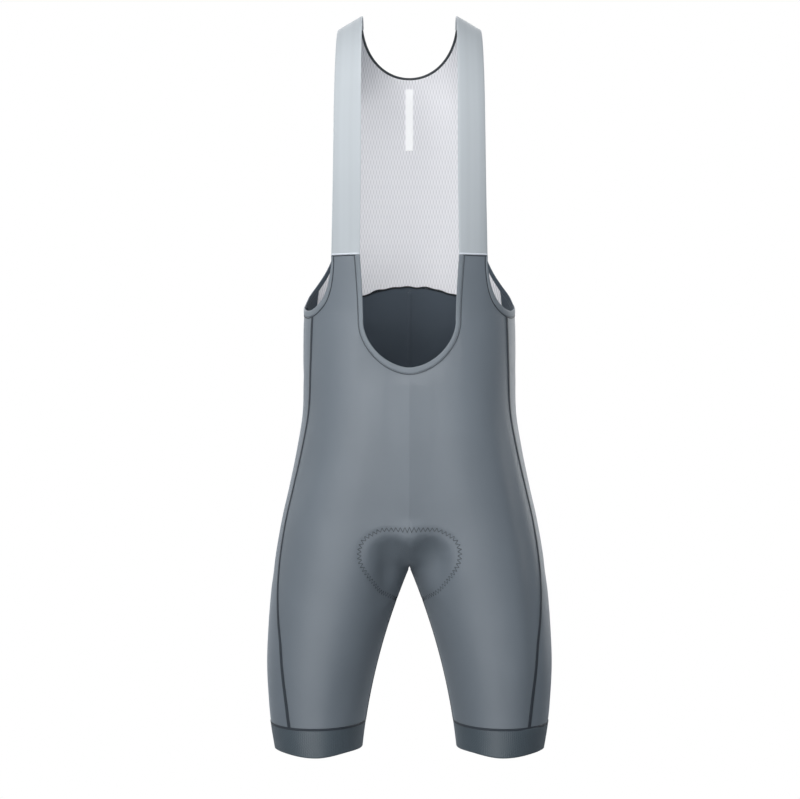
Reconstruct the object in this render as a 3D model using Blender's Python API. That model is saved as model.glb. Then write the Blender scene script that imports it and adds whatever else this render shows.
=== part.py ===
"""Cycling bib shorts, filled out as if worn by a general figure, with nobody in them.

Metres, +Z up, the garment's front faces -Y and the wearer's left is +X. The origin is midway between the
two straps, at the height where they rest on the shoulders.

Every piece is a thin wall on one body surface. A place on that surface is (turn, height), on the +X half:
turn 0 is the centre front (or the inseam, below the crotch), 1 the front of the leg, 2 the outer side,
3 the back of the leg and 4 the centre back (or the inseam again). The -X half mirrors it.
"""

import bisect
import math

import bmesh
import bpy
from mathutils import Vector

# Driving heights
HEM = -0.9085
GRIPPER_TOP = -0.8757
CROTCH = -0.6785
SCOOP_BOTTOM_SEAM = -0.4400
SCOOP_BOTTOM_EDGE = -0.4324
SCOOP_SHOULDER = -0.3770
BLOCK_BASE = -0.4660
STRAP_JOIN = -0.2965
MESH_MIDDLE_BOTTOM = -0.3260
WAIST = -0.3600

# Cloth
SEAM_GAP = 0.0003
WALL = 0.0012
MESH_WALL = 0.0010
STRAP_WALL = 0.0013
GRIPPER_WALL = 0.0018
BINDING_WALL = 0.0020
BINDING_STANDS = 0.0004
NECK_BINDING_WALL = 0.0018
PAD_EDGE = 0.0020
PAD_MIDDLE = 0.0080
PAD_CLEAR = 0.0015
PAD_FULL_ACROSS = 0.7
PAD_FULL_ROWS = 4
LABEL_WALL = 0.0010

# The figure: the half width at the side, and how far the front and the back stand from the side line
FIGURE = (
    # height, half_width, front, back
    (-0.910, 0.1665, 0.0660, 0.0660),
    (-0.876, 0.1722, 0.0700, 0.0705),
    (-0.850, 0.1750, 0.0730, 0.0750),
    (-0.800, 0.1776, 0.0800, 0.0830),
    (-0.750, 0.1757, 0.0850, 0.0930),
    (-0.710, 0.1725, 0.0890, 0.1040),
    (-0.679, 0.1688, 0.0930, 0.1150),
    (-0.650, 0.1645, 0.0960, 0.1250),
    (-0.615, 0.1580, 0.0985, 0.1310),
    (-0.580, 0.1500, 0.1015, 0.1310),
    (-0.530, 0.1398, 0.1030, 0.1230),
    (-0.485, 0.1330, 0.1020, 0.1110),
    (-0.430, 0.1325, 0.0990, 0.0960),
    (-0.385, 0.1322, 0.0960, 0.0885),
    (-0.350, 0.1315, 0.0950, 0.0880),
    (-0.300, 0.1372, 0.0970, 0.0930),
    (-0.250, 0.1450, 0.1020, 0.1010),
    (-0.200, 0.1500, 0.1050, 0.1070),
    (-0.150, 0.1530, 0.1040, 0.1100),
    (-0.100, 0.1520, 0.1000, 0.1080),
    (0.020, 0.1490, 0.0900, 0.0950),
)
ROUNDNESS = 2.15
WAIST_CENTRE = 0.015
CENTRE_POWER = 1.3
LEG_SPREAD = 0.42
LEG_SPREAD_EASES = 0.70
RISE_FRONT = 0.055
RISE_BACK = 0.100
CLEFT_FADES = 0.060
SHOULDER_INNER = 0.0585
SHOULDER_HEIGHT = 0.0075
SHOULDER_SLOPE = 0.58
SHOULDER_ARCH = 0.100

# Seams, as degrees round the outer side of the leg: 0 faces front, 90 is the side, 180 faces back
FRONT_SEAM = (
    # height, degrees
    (-0.876, 32.0),
    (-0.850, 34.5),
    (-0.822, 38.0),
    (-0.772, 45.5),
    (-0.722, 57.0),
    (-0.696, 63.0),
    (-0.640, 65.5),
    (-0.585, 67.5),
    (-0.531, 64.5),
    (-0.450, 63.0),
    (-0.360, 62.0),
)
BACK_SEAM = (
    # height, degrees
    (-0.876, 140.0),
    (-0.822, 136.0),
    (-0.772, 130.0),
    (-0.722, 122.0),
    (-0.660, 115.0),
    (-0.585, 113.0),
    (-0.531, 115.0),
    (-0.450, 117.0),
    (-0.360, 118.0),
    (-0.340, 120.5),
    (-0.310, 128.0),
)
ARMHOLE = (
    # face, half_width, height, binding
    ("front", 0.0950, -0.2965, 0.0026),
    ("front", 0.0953, -0.3080, 0.0030),
    ("front", 0.0977, -0.3240, 0.0042),
    ("front", 0.1018, -0.3385, 0.0058),
    ("front", 0.1085, -0.3510, 0.0072),
    ("front", 0.1185, -0.3600, 0.0080),
    ("front", 0.1270, -0.3610, 0.0080),
    ("back", 0.1308, -0.3525, 0.0078),
    ("back", 0.1265, -0.3405, 0.0072),
    ("back", 0.1180, -0.3265, 0.0064),
    ("back", 0.1085, -0.3105, 0.0056),
    ("back", 0.1005, -0.2925, 0.0050),
    ("back", 0.0965, -0.2735, 0.0046),
    ("back", 0.0950, -0.2450, 0.0044),
    ("back", 0.0940, -0.2000, 0.0042),
    ("back", 0.0930, -0.1500, 0.0040),
    ("back", 0.0920, -0.1000, 0.0038),
    ("back", 0.0908, -0.0600, 0.0036),
    ("back", 0.0892, -0.0204, 0.0035),
)

# Front scoop: half widths of its edge and of its binding's seam
SCOOP_EDGE_WIDTH = 0.0560
SCOOP_SEAM_WIDTH = 0.0610
SCOOP_EDGE_SPREAD = 0.0040
SCOOP_SEAM_SPREAD = 0.0047
SCOOP_ROUNDNESS = 1.8
SCOOP_FLARE = 1.5

# Back neck
NECK_EDGE_WIDTH = 0.0590
NECK_SEAM_WIDTH = 0.0620
NECK_EDGE_BOTTOM = -0.0532
NECK_SEAM_BOTTOM = -0.0562
NECK_ARC = 82.0
STRAP_BACK_ANGLE = 66.0

# Strap: half widths of its two edges
STRAP_EDGES = (
    # run (0 at the join, 1 at the foot of the shoulder arch, 2 on top, 3 its foot behind), inner, outer
    (0.0, 0.0600, 0.0950),
    (0.5, 0.0587, 0.0928),
    (1.0, 0.0585, 0.0915),
    (2.0, 0.0585, 0.0892),
    (3.0, 0.0585, 0.0890),
)

# Seat pad, by rows from its front end to its back end: where the row leaves the centre, where it ends
PAD = (
    # side (-1 front, 1 back), centre_height, edge_turn, edge_height
    (-1, -0.6265, 0.51, -0.6282),
    (-1, -0.6355, 0.75, -0.6378),
    (-1, -0.6440, 0.83, -0.6492),
    (-1, -0.6570, 0.83, -0.6640),
    (-1, -0.6665, 0.77, -0.6780),
    (-1, -0.6730, 0.62, -0.6945),
    (-1, -0.6770, 0.42, -0.7092),
    (0, -0.6785, 0.00, -0.7200),
    (1, -0.6770, 0.40, -0.7120),
    (1, -0.6730, 0.62, -0.7000),
    (1, -0.6665, 0.78, -0.6860),
    (1, -0.6570, 0.90, -0.6680),
    (1, -0.6440, 0.98, -0.6460),
    (1, -0.6270, 1.00, -0.6220),
    (1, -0.6050, 0.96, -0.5980),
    (1, -0.5800, 0.80, -0.5740),
    (1, -0.5600, 0.45, -0.5590),
)

LABEL_WIDTH = 0.0094
LABEL_TOP = -0.0682
LABEL_BOTTOM = -0.1474

# How finely the walls are divided
LEG_ROWS = (-0.842, -0.809, -0.777, -0.748, -0.724, -0.706, -0.693, -0.684)
TRUNK_ROWS = (
    -0.6770, -0.6730, -0.6665, -0.6570, -0.6440, -0.6270, -0.6050, -0.5800, -0.5510, -0.5220, -0.4930
)
UPRIGHT_ROWS = (-0.3520, -0.3380, -0.3230, -0.3090)
MESH_ROWS = (-0.3050, -0.2870, -0.2600, -0.2250, -0.1850, -0.1450, -0.1100, -0.0800, -0.0550, -0.0350)
BLOCK_ROWS = 7
MESH_CORNER_ROW = 5
PANEL_COLUMNS = 12
SCOOP_COLUMNS = 6
SIDE_COLUMNS = 6
NECK_COLUMNS = 10
STRAP_FRONT_ROWS = 6
STRAP_ARCH_ROWS = 6
PAD_COLUMNS = 6
CURVE_SAMPLES = 600
TURN_STEP = 0.02
HEIGHT_STEP = 0.0004
RUN_STEP = 0.02
STRAP_STEP = 0.01
MESH_BOTTOM_ROUNDS = 4
SHARP_ANGLE = 50.0
# The heights between which the front's columns change from even spacing to the scoop's
COLUMNS_SHIFT = (-0.600, -0.400)
# Where the pad's middle crosses the crease between the legs, and how sharp a crease it follows
CREASE_TURN = 0.05
CREASE_LIMIT = 0.35


def mix(low, high, share):
    return low + (high - low) * share


def ease(share):
    share = min(max(share, 0.0), 1.0)
    return share * share * (3 - 2 * share)


def read_table(table, column, key):
    """A smooth curve through one column of a table whose first column rises."""
    keys = [row[0] for row in table]
    values = [row[column] for row in table]
    key = min(max(key, keys[0]), keys[-1])
    low = min(max(bisect.bisect_right(keys, key) - 1, 0), len(keys) - 2)

    def slope(place):
        before = max(place - 1, 0)
        after = min(place + 1, len(keys) - 1)
        return (values[after] - values[before]) / (keys[after] - keys[before])

    span = keys[low + 1] - keys[low]
    t = (key - keys[low]) / span
    start = (1 + 2 * t) * (1 - t) ** 2 * values[low] + t * (1 - t) ** 2 * span * slope(low)
    end = t * t * (3 - 2 * t) * values[low + 1] + t * t * (t - 1) * span * slope(low + 1)
    return start + end


# The body surface


def inner_leg(height):
    """Half of the gap between the legs."""
    below = max(CROTCH - height, 0.0)
    return LEG_SPREAD * below - LEG_SPREAD_EASES * below * below


def leg_centre(height):
    """How far the middle of the leg is from the centre line, and above it of the rounded side."""
    half_width = read_table(FIGURE, 1, height)
    if height <= CROTCH:
        return (half_width + inner_leg(height)) / 2
    share = min(max((WAIST - height) / (WAIST - CROTCH), 0.0), 1.0)
    at_crotch = read_table(FIGURE, 1, CROTCH) / 2
    return mix(WAIST_CENTRE, at_crotch, share**CENTRE_POWER)


def centre_rise(height, rise):
    """The centre line's depth squared, as a share of the leg's: 0 at the crotch, 1 at the top of the rise."""
    share = min(max((height - CROTCH) / rise, 0.0), 1.0)
    start = 2 * LEG_SPREAD / leg_centre(CROTCH) * rise
    return start * (share - 2 * share**2 + share**3) + 3 * share**2 - 2 * share**3


def shoulder_height(half_width):
    return SHOULDER_HEIGHT - SHOULDER_SLOPE * (half_width - SHOULDER_INNER)


def shoulder_arch(half_width, height):
    """1 down the chest and back, falling to 0 where the two meet on top of the shoulder."""
    below = (shoulder_height(half_width) - height) / SHOULDER_ARCH
    if below >= 1:
        return 1.0
    return math.sqrt(max(1 - (1 - below) ** 2, 0.0))


def skin(turn, height):
    """The point of the body surface at this turn and height, on the +X half."""
    half_width = read_table(FIGURE, 1, height)
    centre = leg_centre(height)
    front = turn <= 2
    depth = read_table(FIGURE, 2 if front else 3, height)
    from_centre = turn if front else 4 - turn
    if from_centre >= 1:
        angle = math.radians(90 * (from_centre - 1))
        x = centre + (half_width - centre) * abs(math.sin(angle)) ** (2 / ROUNDNESS)
        y = depth * abs(math.cos(angle)) ** (2 / ROUNDNESS)
    else:
        closed = ease((height - CROTCH) / CLEFT_FADES)
        share = mix(1 - math.cos(math.radians(90 * from_centre)), from_centre, closed)
        fullness = mix(2 * share - share**2, share**2 * (3 - 2 * share), closed)
        rise = centre_rise(height, RISE_FRONT if front else RISE_BACK)
        x = mix(inner_leg(height), centre, share)
        y = depth * math.sqrt(max(mix(rise, 1.0, fullness), 0.0))
    y *= shoulder_arch(x, height)
    return Vector((x, -y if front else y, height))


def slopes(turn, height):
    """How the surface runs with turn and with height."""
    low, high = max(turn - TURN_STEP, 0.0), min(turn + TURN_STEP, 4.0)
    along = (skin(high, height) - skin(low, height)) / (high - low)
    up = (skin(turn, height + HEIGHT_STEP) - skin(turn, height - HEIGHT_STEP)) / (2 * HEIGHT_STEP)
    return along, up


def skin_normal(turn, height):
    """The direction out of the cloth."""
    on_centre = turn in (0, 4)
    if on_centre and abs(height - CROTCH) < HEIGHT_STEP:
        return Vector((0, 0, -1))
    along, up = slopes(turn, height)
    return along.cross(up).normalized()


def turn_at(face, half_width, height):
    """The turn of the place on that face at this half width."""
    centre = leg_centre(height)
    side = read_table(FIGURE, 1, height)
    if half_width <= centre:
        from_centre = half_width / centre
    else:
        share = min((half_width - centre) / (side - centre), 1.0)
        from_centre = 1 + math.degrees(math.asin(share ** (ROUNDNESS / 2))) / 90
    return from_centre if face == "front" else 4 - from_centre


def on_skin(places):
    """(point, normal) for each (turn, height)."""
    return [(skin(*place), skin_normal(*place)) for place in places]


def mirrored(spots):
    flip = Vector((-1, 1, 1))
    return [spot and (spot[0] * flip, spot[1] * flip) for spot in spots]


def full_width(spots):
    """A row from the +X edge to the centre line, carried on to the -X edge."""
    centre_point, centre_normal = spots[-1]
    flat = Vector((0, centre_normal.y, centre_normal.z)).normalized()
    centre = (Vector((0, centre_point.y, centre_point.z)), flat)
    return spots[:-1] + [centre] + mirrored(spots[:-1])[::-1]


# Seams and bound edges


def front_seam(height):
    return 1 + read_table(FRONT_SEAM, 1, height) / 90


def back_seam(height):
    return 1 + read_table(BACK_SEAM, 1, height) / 90


def step_on_skin(turn, height, move):
    """The (turn, height) that lies this small move away."""
    along, up = slopes(turn, height)
    a, b, c = along.dot(along), along.dot(up), up.dot(up)
    d, e = along.dot(move), up.dot(move)
    spread = a * c - b * b
    return turn + (d * c - e * b) / spread, height + (a * e - b * d) / spread


def armhole_curves():
    """The armhole's edge and its binding's seam, both as many (turn, height), from the chest to the back."""
    stops = [(turn_at(face, width, height), height, binding) for face, width, height, binding in ARMHOLE]
    numbered = [(float(i), *stop) for i, stop in enumerate(stops)]
    edge, seam = [], []
    for sample in range(CURVE_SAMPLES + 1):
        run = (len(stops) - 1) * sample / CURVE_SAMPLES
        turn, height, binding = (read_table(numbered, column, run) for column in (1, 2, 3))
        ahead = [read_table(numbered, column, min(run + RUN_STEP, len(stops) - 1)) for column in (1, 2)]
        behind = [read_table(numbered, column, max(run - RUN_STEP, 0.0)) for column in (1, 2)]
        tangent = (skin(*ahead) - skin(*behind)).normalized()
        inward = skin_normal(turn, height).cross(tangent)
        edge.append((turn, height))
        seam.append(step_on_skin(turn, height, inward * -binding))
    return edge, seam


def crossing(curve, seam_line, start):
    """Where along the curve it first passes this seam line, as a run of samples."""
    for place in range(start, len(curve) - 1):
        before = curve[place][0] - seam_line(curve[place][1])
        after = curve[place + 1][0] - seam_line(curve[place + 1][1])
        if before < 0 <= after:
            return place + before / (before - after)
    raise ValueError("the armhole doesn't cross this seam line")


def along_curve(curve, run):
    place = min(int(run), len(curve) - 2)
    share = run - place
    return tuple(mix(a, b, share) for a, b in zip(curve[place], curve[place + 1]))


def run_at_height(curve, height, first, last):
    """The run between two samples where the curve has this height."""
    for place in range(int(first), int(last)):
        low, high = curve[place][1], curve[place + 1][1]
        if min(low, high) <= height <= max(low, high) and low != high:
            return place + (height - low) / (high - low)
    return float(last if abs(curve[int(last)][1] - height) < abs(curve[int(first)][1] - height) else first)


def scoop_place(height, seam):
    """Half width of the scoop's edge or seam at this height of its seam, and the edge's own height."""
    width = SCOOP_SEAM_WIDTH if seam else SCOOP_EDGE_WIDTH
    spread = SCOOP_SEAM_SPREAD if seam else SCOOP_EDGE_SPREAD
    if height >= SCOOP_SHOULDER:
        share = (height - SCOOP_SHOULDER) / (STRAP_JOIN - SCOOP_SHOULDER)
        return width + spread * share**SCOOP_FLARE, height
    down = (SCOOP_SHOULDER - height) / (SCOOP_SHOULDER - SCOOP_BOTTOM_SEAM)
    across = max(1 - down**SCOOP_ROUNDNESS, 0.0) ** (1 / SCOOP_ROUNDNESS)
    bottom = SCOOP_BOTTOM_SEAM if seam else SCOOP_BOTTOM_EDGE
    return width * across, mix(SCOOP_SHOULDER, bottom, down)


def neck_place(share, seam):
    """(half width, height) on the neck's oval: share 0 at its bottom, 1 at the strap."""
    width = NECK_SEAM_WIDTH if seam else NECK_EDGE_WIDTH
    bottom = NECK_SEAM_BOTTOM if seam else NECK_EDGE_BOTTOM
    arc = math.radians(NECK_ARC)
    up = (1 - math.cos(arc * share)) / (1 - math.cos(arc))
    return width * math.sin(arc * share) / math.sin(arc), mix(bottom, strap_back_height(width), up)


def strap_back_height(half_width):
    """The height of the seam behind the shoulder where the strap meets the mesh."""
    return shoulder_height(half_width) - SHOULDER_ARCH * (1 - math.sin(math.radians(STRAP_BACK_ANGLE)))


# Walls


def cells_of(grid, closed):
    """The four corners of each cell of the grid, anticlockwise seen from outside the garment."""
    columns = len(grid[0])
    cells = []
    for row in range(len(grid) - 1):
        for column in range(columns if closed else columns - 1):
            beside = (column + 1) % columns
            corners = [(row, column), (row, beside), (row + 1, beside), (row + 1, column)]
            if all(grid[r][c] for r, c in corners):
                cells.append(corners)
    start, across, _, up = (grid[r][c] for r, c in cells[0])
    faces_out = (across[0] - start[0]).cross(up[0] - start[0]).dot(start[1]) > 0
    return cells if faces_out else [corners[::-1] for corners in cells]


def border_of(cells):
    """The edges that only one cell has, each with that cell on its left."""
    edges = {(corners[i], corners[(i + 1) % 4]) for corners in cells for i in range(4)}
    return [(a, b) for a, b in edges if (b, a) not in edges]


def drawn_in(grid, border):
    """The grid's points, with its border moved half a seam gap inwards along the cloth."""
    points = {(r, c): spot[0].copy() for r, row in enumerate(grid) for c, spot in enumerate(row) if spot}
    inward = {}
    for a, b in border:
        direction = (points[b] - points[a]).normalized()
        for corner in (a, b):
            normal = grid[corner[0]][corner[1]][1]
            inward.setdefault(corner, []).append(normal.cross(direction).normalized())
    for corner, (one, other) in inward.items():
        points[corner] += (one + other) * (SEAM_GAP / 2 / (1 + one.dot(other)))
    return points


def halves(corners, outer):
    """A cell's two triangles, split on its shorter diagonal, so that both faces of the wall bend alike."""
    a, b, c, d = corners
    first = (outer[a].co - outer[c].co).length
    second = (outer[b].co - outer[d].co).length
    if first < second:
        return (a, b, c), (a, c, d)
    return (a, b, d), (b, c, d)


def add_wall(name, grid, look, thickness, stands=0.0, closed=False):
    """A closed cloth wall on a grid of (point, normal): its outer face stands this far proud of the points.

    A grid may hold None where the cloth is cut away. thickness is one number, or a function of the row
    and column.
    """
    cells = cells_of(grid, closed)
    border = sorted(border_of(cells))
    mesh = bmesh.new()
    outer, inner = {}, {}
    for (row, column), point in drawn_in(grid, border).items():
        normal = grid[row][column][1]
        deep = thickness(row, column) if callable(thickness) else thickness
        outer[row, column] = mesh.verts.new(point + normal * stands)
        inner[row, column] = mesh.verts.new(point + normal * (stands - deep))
    for corners in cells:
        for triangle in halves(corners, outer):
            mesh.faces.new([outer[corner] for corner in triangle])
            mesh.faces.new([inner[corner] for corner in triangle[::-1]])
    for a, b in border:
        mesh.faces.new([outer[b], outer[a], inner[a], inner[b]])
    data = bpy.data.meshes.new(name)
    mesh.to_mesh(data)
    mesh.free()
    data.shade_smooth()
    data.set_sharp_from_angle(angle=math.radians(SHARP_ANGLE))
    data.materials.append(look)
    thing = bpy.data.objects.new(name, data)
    bpy.context.scene.collection.objects.link(thing)


def add_pair(name, grid, look, thickness, stands=0.0, closed=False):
    """The wearer's left piece and its mirror image on the right."""
    add_wall(f"{name}_left", grid, look, thickness, stands, closed)
    add_wall(f"{name}_right", [mirrored(row) for row in grid], look, thickness, stands, closed)


def make_material(name, colour, roughness):
    look = bpy.data.materials.new(name)
    look.use_nodes = True
    shader = look.node_tree.nodes["Principled BSDF"]
    shader.inputs["Base Color"].default_value = (*colour, 1.0)
    shader.inputs["Roughness"].default_value = roughness
    shader.inputs["Metallic"].default_value = 0.0
    look.diffuse_color = (*colour, 1.0)
    return look


# Panels


class Cut:
    """The shared lines of the pattern, so that neighbours meet at the same points."""

    def __init__(self):
        self.edge, self.seam = armhole_curves()
        self.front_corner = crossing(self.seam, front_seam, 0)
        self.back_corner = crossing(self.seam, back_seam, int(self.front_corner) + 1)
        self.front_corner_height = along_curve(self.seam, self.front_corner)[1]
        self.back_corner_height = along_curve(self.seam, self.back_corner)[1]
        self.low_rows = [GRIPPER_TOP, *LEG_ROWS, CROTCH, *TRUNK_ROWS, BLOCK_BASE]

    def block_height(self, top, row):
        """A row of the block between the belly and the armhole."""
        return mix(BLOCK_BASE, top, row / BLOCK_ROWS)

    def armhole_run(self, height, behind):
        if behind:
            return run_at_height(self.seam, height, self.back_corner, CURVE_SAMPLES)
        return run_at_height(self.seam, height, 0, math.ceil(self.front_corner))

    def upright_runs(self):
        """Where the front panel meets the armhole's binding, from the join down to the side seam."""
        runs = [self.armhole_run(height, False) for height in reversed(UPRIGHT_ROWS)]
        return [0.0, *runs, self.front_corner]

    def side_runs(self):
        return [mix(self.front_corner, self.back_corner, i / SIDE_COLUMNS) for i in range(SIDE_COLUMNS + 1)]

    def mesh_runs(self):
        """Where the mesh meets the armhole's binding, from the back corner up to the strap."""
        runs = [self.armhole_run(height, True) for height in MESH_ROWS]
        return [self.back_corner, *runs, float(CURVE_SAMPLES)]

    def mesh_side(self):
        """The mesh's outer boundary, from its bottom corner to the strap, as (turn, height)."""
        rows = range(MESH_CORNER_ROW, BLOCK_ROWS)
        heights = [self.block_height(self.back_corner_height, row) for row in rows]
        seam = [(back_seam(height), height) for height in heights]
        return seam + [along_curve(self.seam, run) for run in self.mesh_runs()]

    def mesh_bottom(self, half_width):
        """The height of the mesh's arched lower edge."""
        turn, height = self.mesh_side()[0]
        reach = skin(turn, height).x
        return mix(MESH_MIDDLE_BOTTOM, height, (half_width / reach) ** 2)

    def seat_top(self):
        """The seam of the seat and the mesh, from the side to the centre back, as (turn, height)."""
        side_turn, side_height = self.mesh_side()[0]
        places = []
        for column in range(PANEL_COLUMNS + 1):
            turn = mix(side_turn, 4.0, column / PANEL_COLUMNS)
            height = side_height
            for _ in range(MESH_BOTTOM_ROUNDS):
                height = self.mesh_bottom(skin(turn, height).x)
            places.append((turn, height))
        return places


def scoop_round():
    """The round of the scoop's seam, from the centre front to where it turns straight, as (turn, height)."""
    drop = SCOOP_SHOULDER - SCOOP_BOTTOM_SEAM
    places = []
    for column in range(SCOOP_COLUMNS + 1):
        angle = math.radians(90 * column / SCOOP_COLUMNS)
        height = SCOOP_SHOULDER - drop * abs(math.cos(angle)) ** (2 / SCOOP_ROUNDNESS)
        places.append(scoop_seam_place(height))
    return places


def scoop_seam_place(height):
    return turn_at("front", scoop_place(height, True)[0], height), height


def places_between(first, last, columns):
    """Evenly spaced (turn, height) from the first place to the last."""
    shares = [column / columns for column in range(columns + 1)]
    return [(mix(first[0], last[0], share), mix(first[1], last[1], share)) for share in shares]


def front_panel(cut):
    """Up to the scoop it is full width; above, only the columns beside the scoop go on to the strap.

    The rows lie level on the leg and belly and take the scoop's round over the last BLOCK_ROWS.
    """
    corner = (front_seam(cut.front_corner_height), cut.front_corner_height)
    scoop = scoop_round()
    top = scoop + places_between(scoop[-1], corner, PANEL_COLUMNS - SCOOP_COLUMNS)[1:]
    rows = [(height, 0.0) for height in cut.low_rows]
    rows += [(BLOCK_BASE, row / BLOCK_ROWS) for row in range(1, BLOCK_ROWS + 1)]
    grid = []
    for base, rise in rows:
        level = mix(base, COLUMNS_SHIFT[1], rise)
        shift = ease((level - COLUMNS_SHIFT[0]) / (COLUMNS_SHIFT[1] - COLUMNS_SHIFT[0]))
        places = []
        for column, (top_turn, top_height) in enumerate(top):
            height = mix(base, top_height, rise)
            share = mix(column / PANEL_COLUMNS, top_turn / corner[0], shift)
            places.append((front_seam(mix(base, corner[1], rise)) * share, height))
        grid.append(on_skin(places))
    for height in (*UPRIGHT_ROWS, STRAP_JOIN):
        last = along_curve(cut.seam, cut.armhole_run(height, False))
        upright = places_between(scoop_seam_place(height), last, PANEL_COLUMNS - SCOOP_COLUMNS)
        grid.append([None] * SCOOP_COLUMNS + on_skin(upright))
    return grid


def side_panel(cut):
    """From the gripper to the armhole, between the two seams; its top row follows the armhole."""
    tops = [along_curve(cut.seam, run) for run in cut.side_runs()]
    shares = [column / SIDE_COLUMNS for column in range(SIDE_COLUMNS + 1)]
    grid = []
    for height in cut.low_rows:
        low, high = front_seam(height), back_seam(height)
        grid.append(on_skin([(mix(low, high, share), height) for share in shares]))
    for row in range(1, BLOCK_ROWS + 1):
        places = []
        for share, (top_turn, top_height) in zip(shares, tops):
            height = cut.block_height(top_height, row)
            straight = mix(front_seam(height), back_seam(height), share)
            pulled = top_turn - mix(front_seam(top_height), back_seam(top_height), share)
            places.append((straight + pulled * (row / BLOCK_ROWS) ** 2, height))
        grid.append(on_skin(places))
    return grid


def seat_panel(cut):
    """The back of the leg and the seat, up to the mesh's lower edge."""
    shares = [column / PANEL_COLUMNS for column in range(PANEL_COLUMNS + 1)]
    grid = []
    for height in cut.low_rows:
        grid.append(on_skin([(mix(back_seam(height), 4.0, share), height) for share in shares]))
    for row in range(1, MESH_CORNER_ROW + 1):
        places = []
        for share, (_, top_height) in zip(shares, cut.seat_top()):
            height = mix(BLOCK_BASE, top_height, row / MESH_CORNER_ROW)
            places.append((mix(back_seam(height), 4.0, share), height))
        grid.append(on_skin(places))
    return grid


def mesh_top(reach):
    """The mesh's top boundary from the armhole to the centre, as (half width, height)."""
    strap = [mix(reach, NECK_SEAM_WIDTH, share) for share in (0.0, 0.5)]
    places = [(width, strap_back_height(width)) for width in strap]
    shares = [1 - column / NECK_COLUMNS for column in range(NECK_COLUMNS + 1)]
    return places + [neck_place(share, True) for share in shares]


def mesh_panel(cut):
    """One piece across the back: its lower rows arch, and its upper rows take the shape of the neck."""
    side = cut.mesh_side()
    bottom = cut.seat_top()
    top_reach = skin(*side[-1]).x
    top = mesh_top(top_reach)
    bottom_reach = skin(*side[0]).x
    grid = []
    for turn, height in side:
        share = (height - side[0][1]) / (side[-1][1] - side[0][1])
        reach = skin(turn, height).x
        places = []
        for low, high in zip(bottom, top):
            low_share = skin(*low).x / bottom_reach
            high_share = high[0] / top_reach
            width = reach * mix(low_share, high_share, ease(share))
            level = mix(low[1], high[1], share)
            places.append((turn_at("back", width, level), level))
        places[0] = (turn, height)
        grid.append(full_width(on_skin(places)))
    return grid


def strap_spot(across, run):
    """A point of the strap: across 0 at its inner edge to 1, run as in STRAP_EDGES."""
    x = mix(read_table(STRAP_EDGES, 1, run), read_table(STRAP_EDGES, 2, run), across)
    foot = shoulder_height(x) - SHOULDER_ARCH
    if run <= 1:
        height, arch = mix(STRAP_JOIN, foot, run), 1.0
    else:
        angle = math.radians(90 * (run - 1))
        height = foot + SHOULDER_ARCH * math.sin(angle)
        arch = math.cos(angle)
    side, centre = read_table(FIGURE, 1, height), leg_centre(height)
    shape = (1 - ((x - centre) / (side - centre)) ** ROUNDNESS) ** (1 / ROUNDNESS)
    front, back = read_table(FIGURE, 2, height), read_table(FIGURE, 3, height)
    return Vector((x, -shape * arch * (front if arch > 0 else back), height))


def strap(cut):
    """From the join up the chest and over the shoulder; its last row has a column at each of the mesh's."""
    reach = skin(*cut.mesh_side()[-1]).x
    outer = read_table(STRAP_EDGES, 2, 3.0)
    widths = (SHOULDER_INNER, NECK_SEAM_WIDTH, (NECK_SEAM_WIDTH + reach) / 2, reach, outer)
    shares = [(width - SHOULDER_INNER) / (outer - SHOULDER_INNER) for width in widths]
    last = 3 - STRAP_BACK_ANGLE / 90
    runs = [i / STRAP_FRONT_ROWS for i in range(STRAP_FRONT_ROWS)]
    runs += [mix(1.0, last, i / STRAP_ARCH_ROWS) for i in range(STRAP_ARCH_ROWS + 1)]
    grid = []
    for run in runs:
        row = []
        for share in shares:
            along = strap_spot(share + STRAP_STEP, run) - strap_spot(share - STRAP_STEP, run)
            up = strap_spot(share, run + STRAP_STEP) - strap_spot(share, max(run - STRAP_STEP, 0.0))
            row.append((strap_spot(share, run), along.cross(up).normalized()))
        grid.append(row)
    return grid


# Bindings: each is a grid of two columns, the seam and the free edge


def scoop_binding():
    """Round the front opening, from one strap's join to the other's."""
    heights = [height for _, height in scoop_round()] + [*UPRIGHT_ROWS, STRAP_JOIN]
    columns = []
    for seam in (True, False):
        places = []
        for height in reversed(heights):
            width, level = scoop_place(height, seam)
            places.append((turn_at("front", width, level), level))
        columns.append(full_width(on_skin(places)))
    return [list(pair) for pair in zip(*columns)]


def armhole_binding(cut):
    """From the strap's join down to the side and up the mesh, with a row at each panel's own."""
    runs = cut.upright_runs()[:-1] + cut.side_runs() + cut.mesh_runs()[1:]
    seam = on_skin([along_curve(cut.seam, run) for run in runs])
    edge = on_skin([along_curve(cut.edge, run) for run in runs])
    return [list(pair) for pair in zip(seam, edge)]


def neck_binding():
    """Round the back neck, from one strap to the other."""
    shares = [1 - column / NECK_COLUMNS for column in range(NECK_COLUMNS + 1)]
    columns = []
    for seam in (True, False):
        places = []
        for share in shares:
            width, height = neck_place(share, seam)
            places.append((turn_at("back", width, height), height))
        columns.append(full_width(on_skin(places)))
    return [list(pair) for pair in zip(*columns)]


def gripper(cut):
    """The band round the leg, with a column at each of the panels' own."""
    turns = [mix(0.0, front_seam(GRIPPER_TOP), i / PANEL_COLUMNS) for i in range(PANEL_COLUMNS)]
    low, high = front_seam(GRIPPER_TOP), back_seam(GRIPPER_TOP)
    turns += [mix(low, high, i / SIDE_COLUMNS) for i in range(SIDE_COLUMNS)]
    turns += [mix(high, 4.0, i / PANEL_COLUMNS) for i in range(PANEL_COLUMNS)]
    middle = (HEM + GRIPPER_TOP) / 2
    return [on_skin([(turn, height) for turn in turns]) for height in (HEM, middle, GRIPPER_TOP)]


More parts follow.
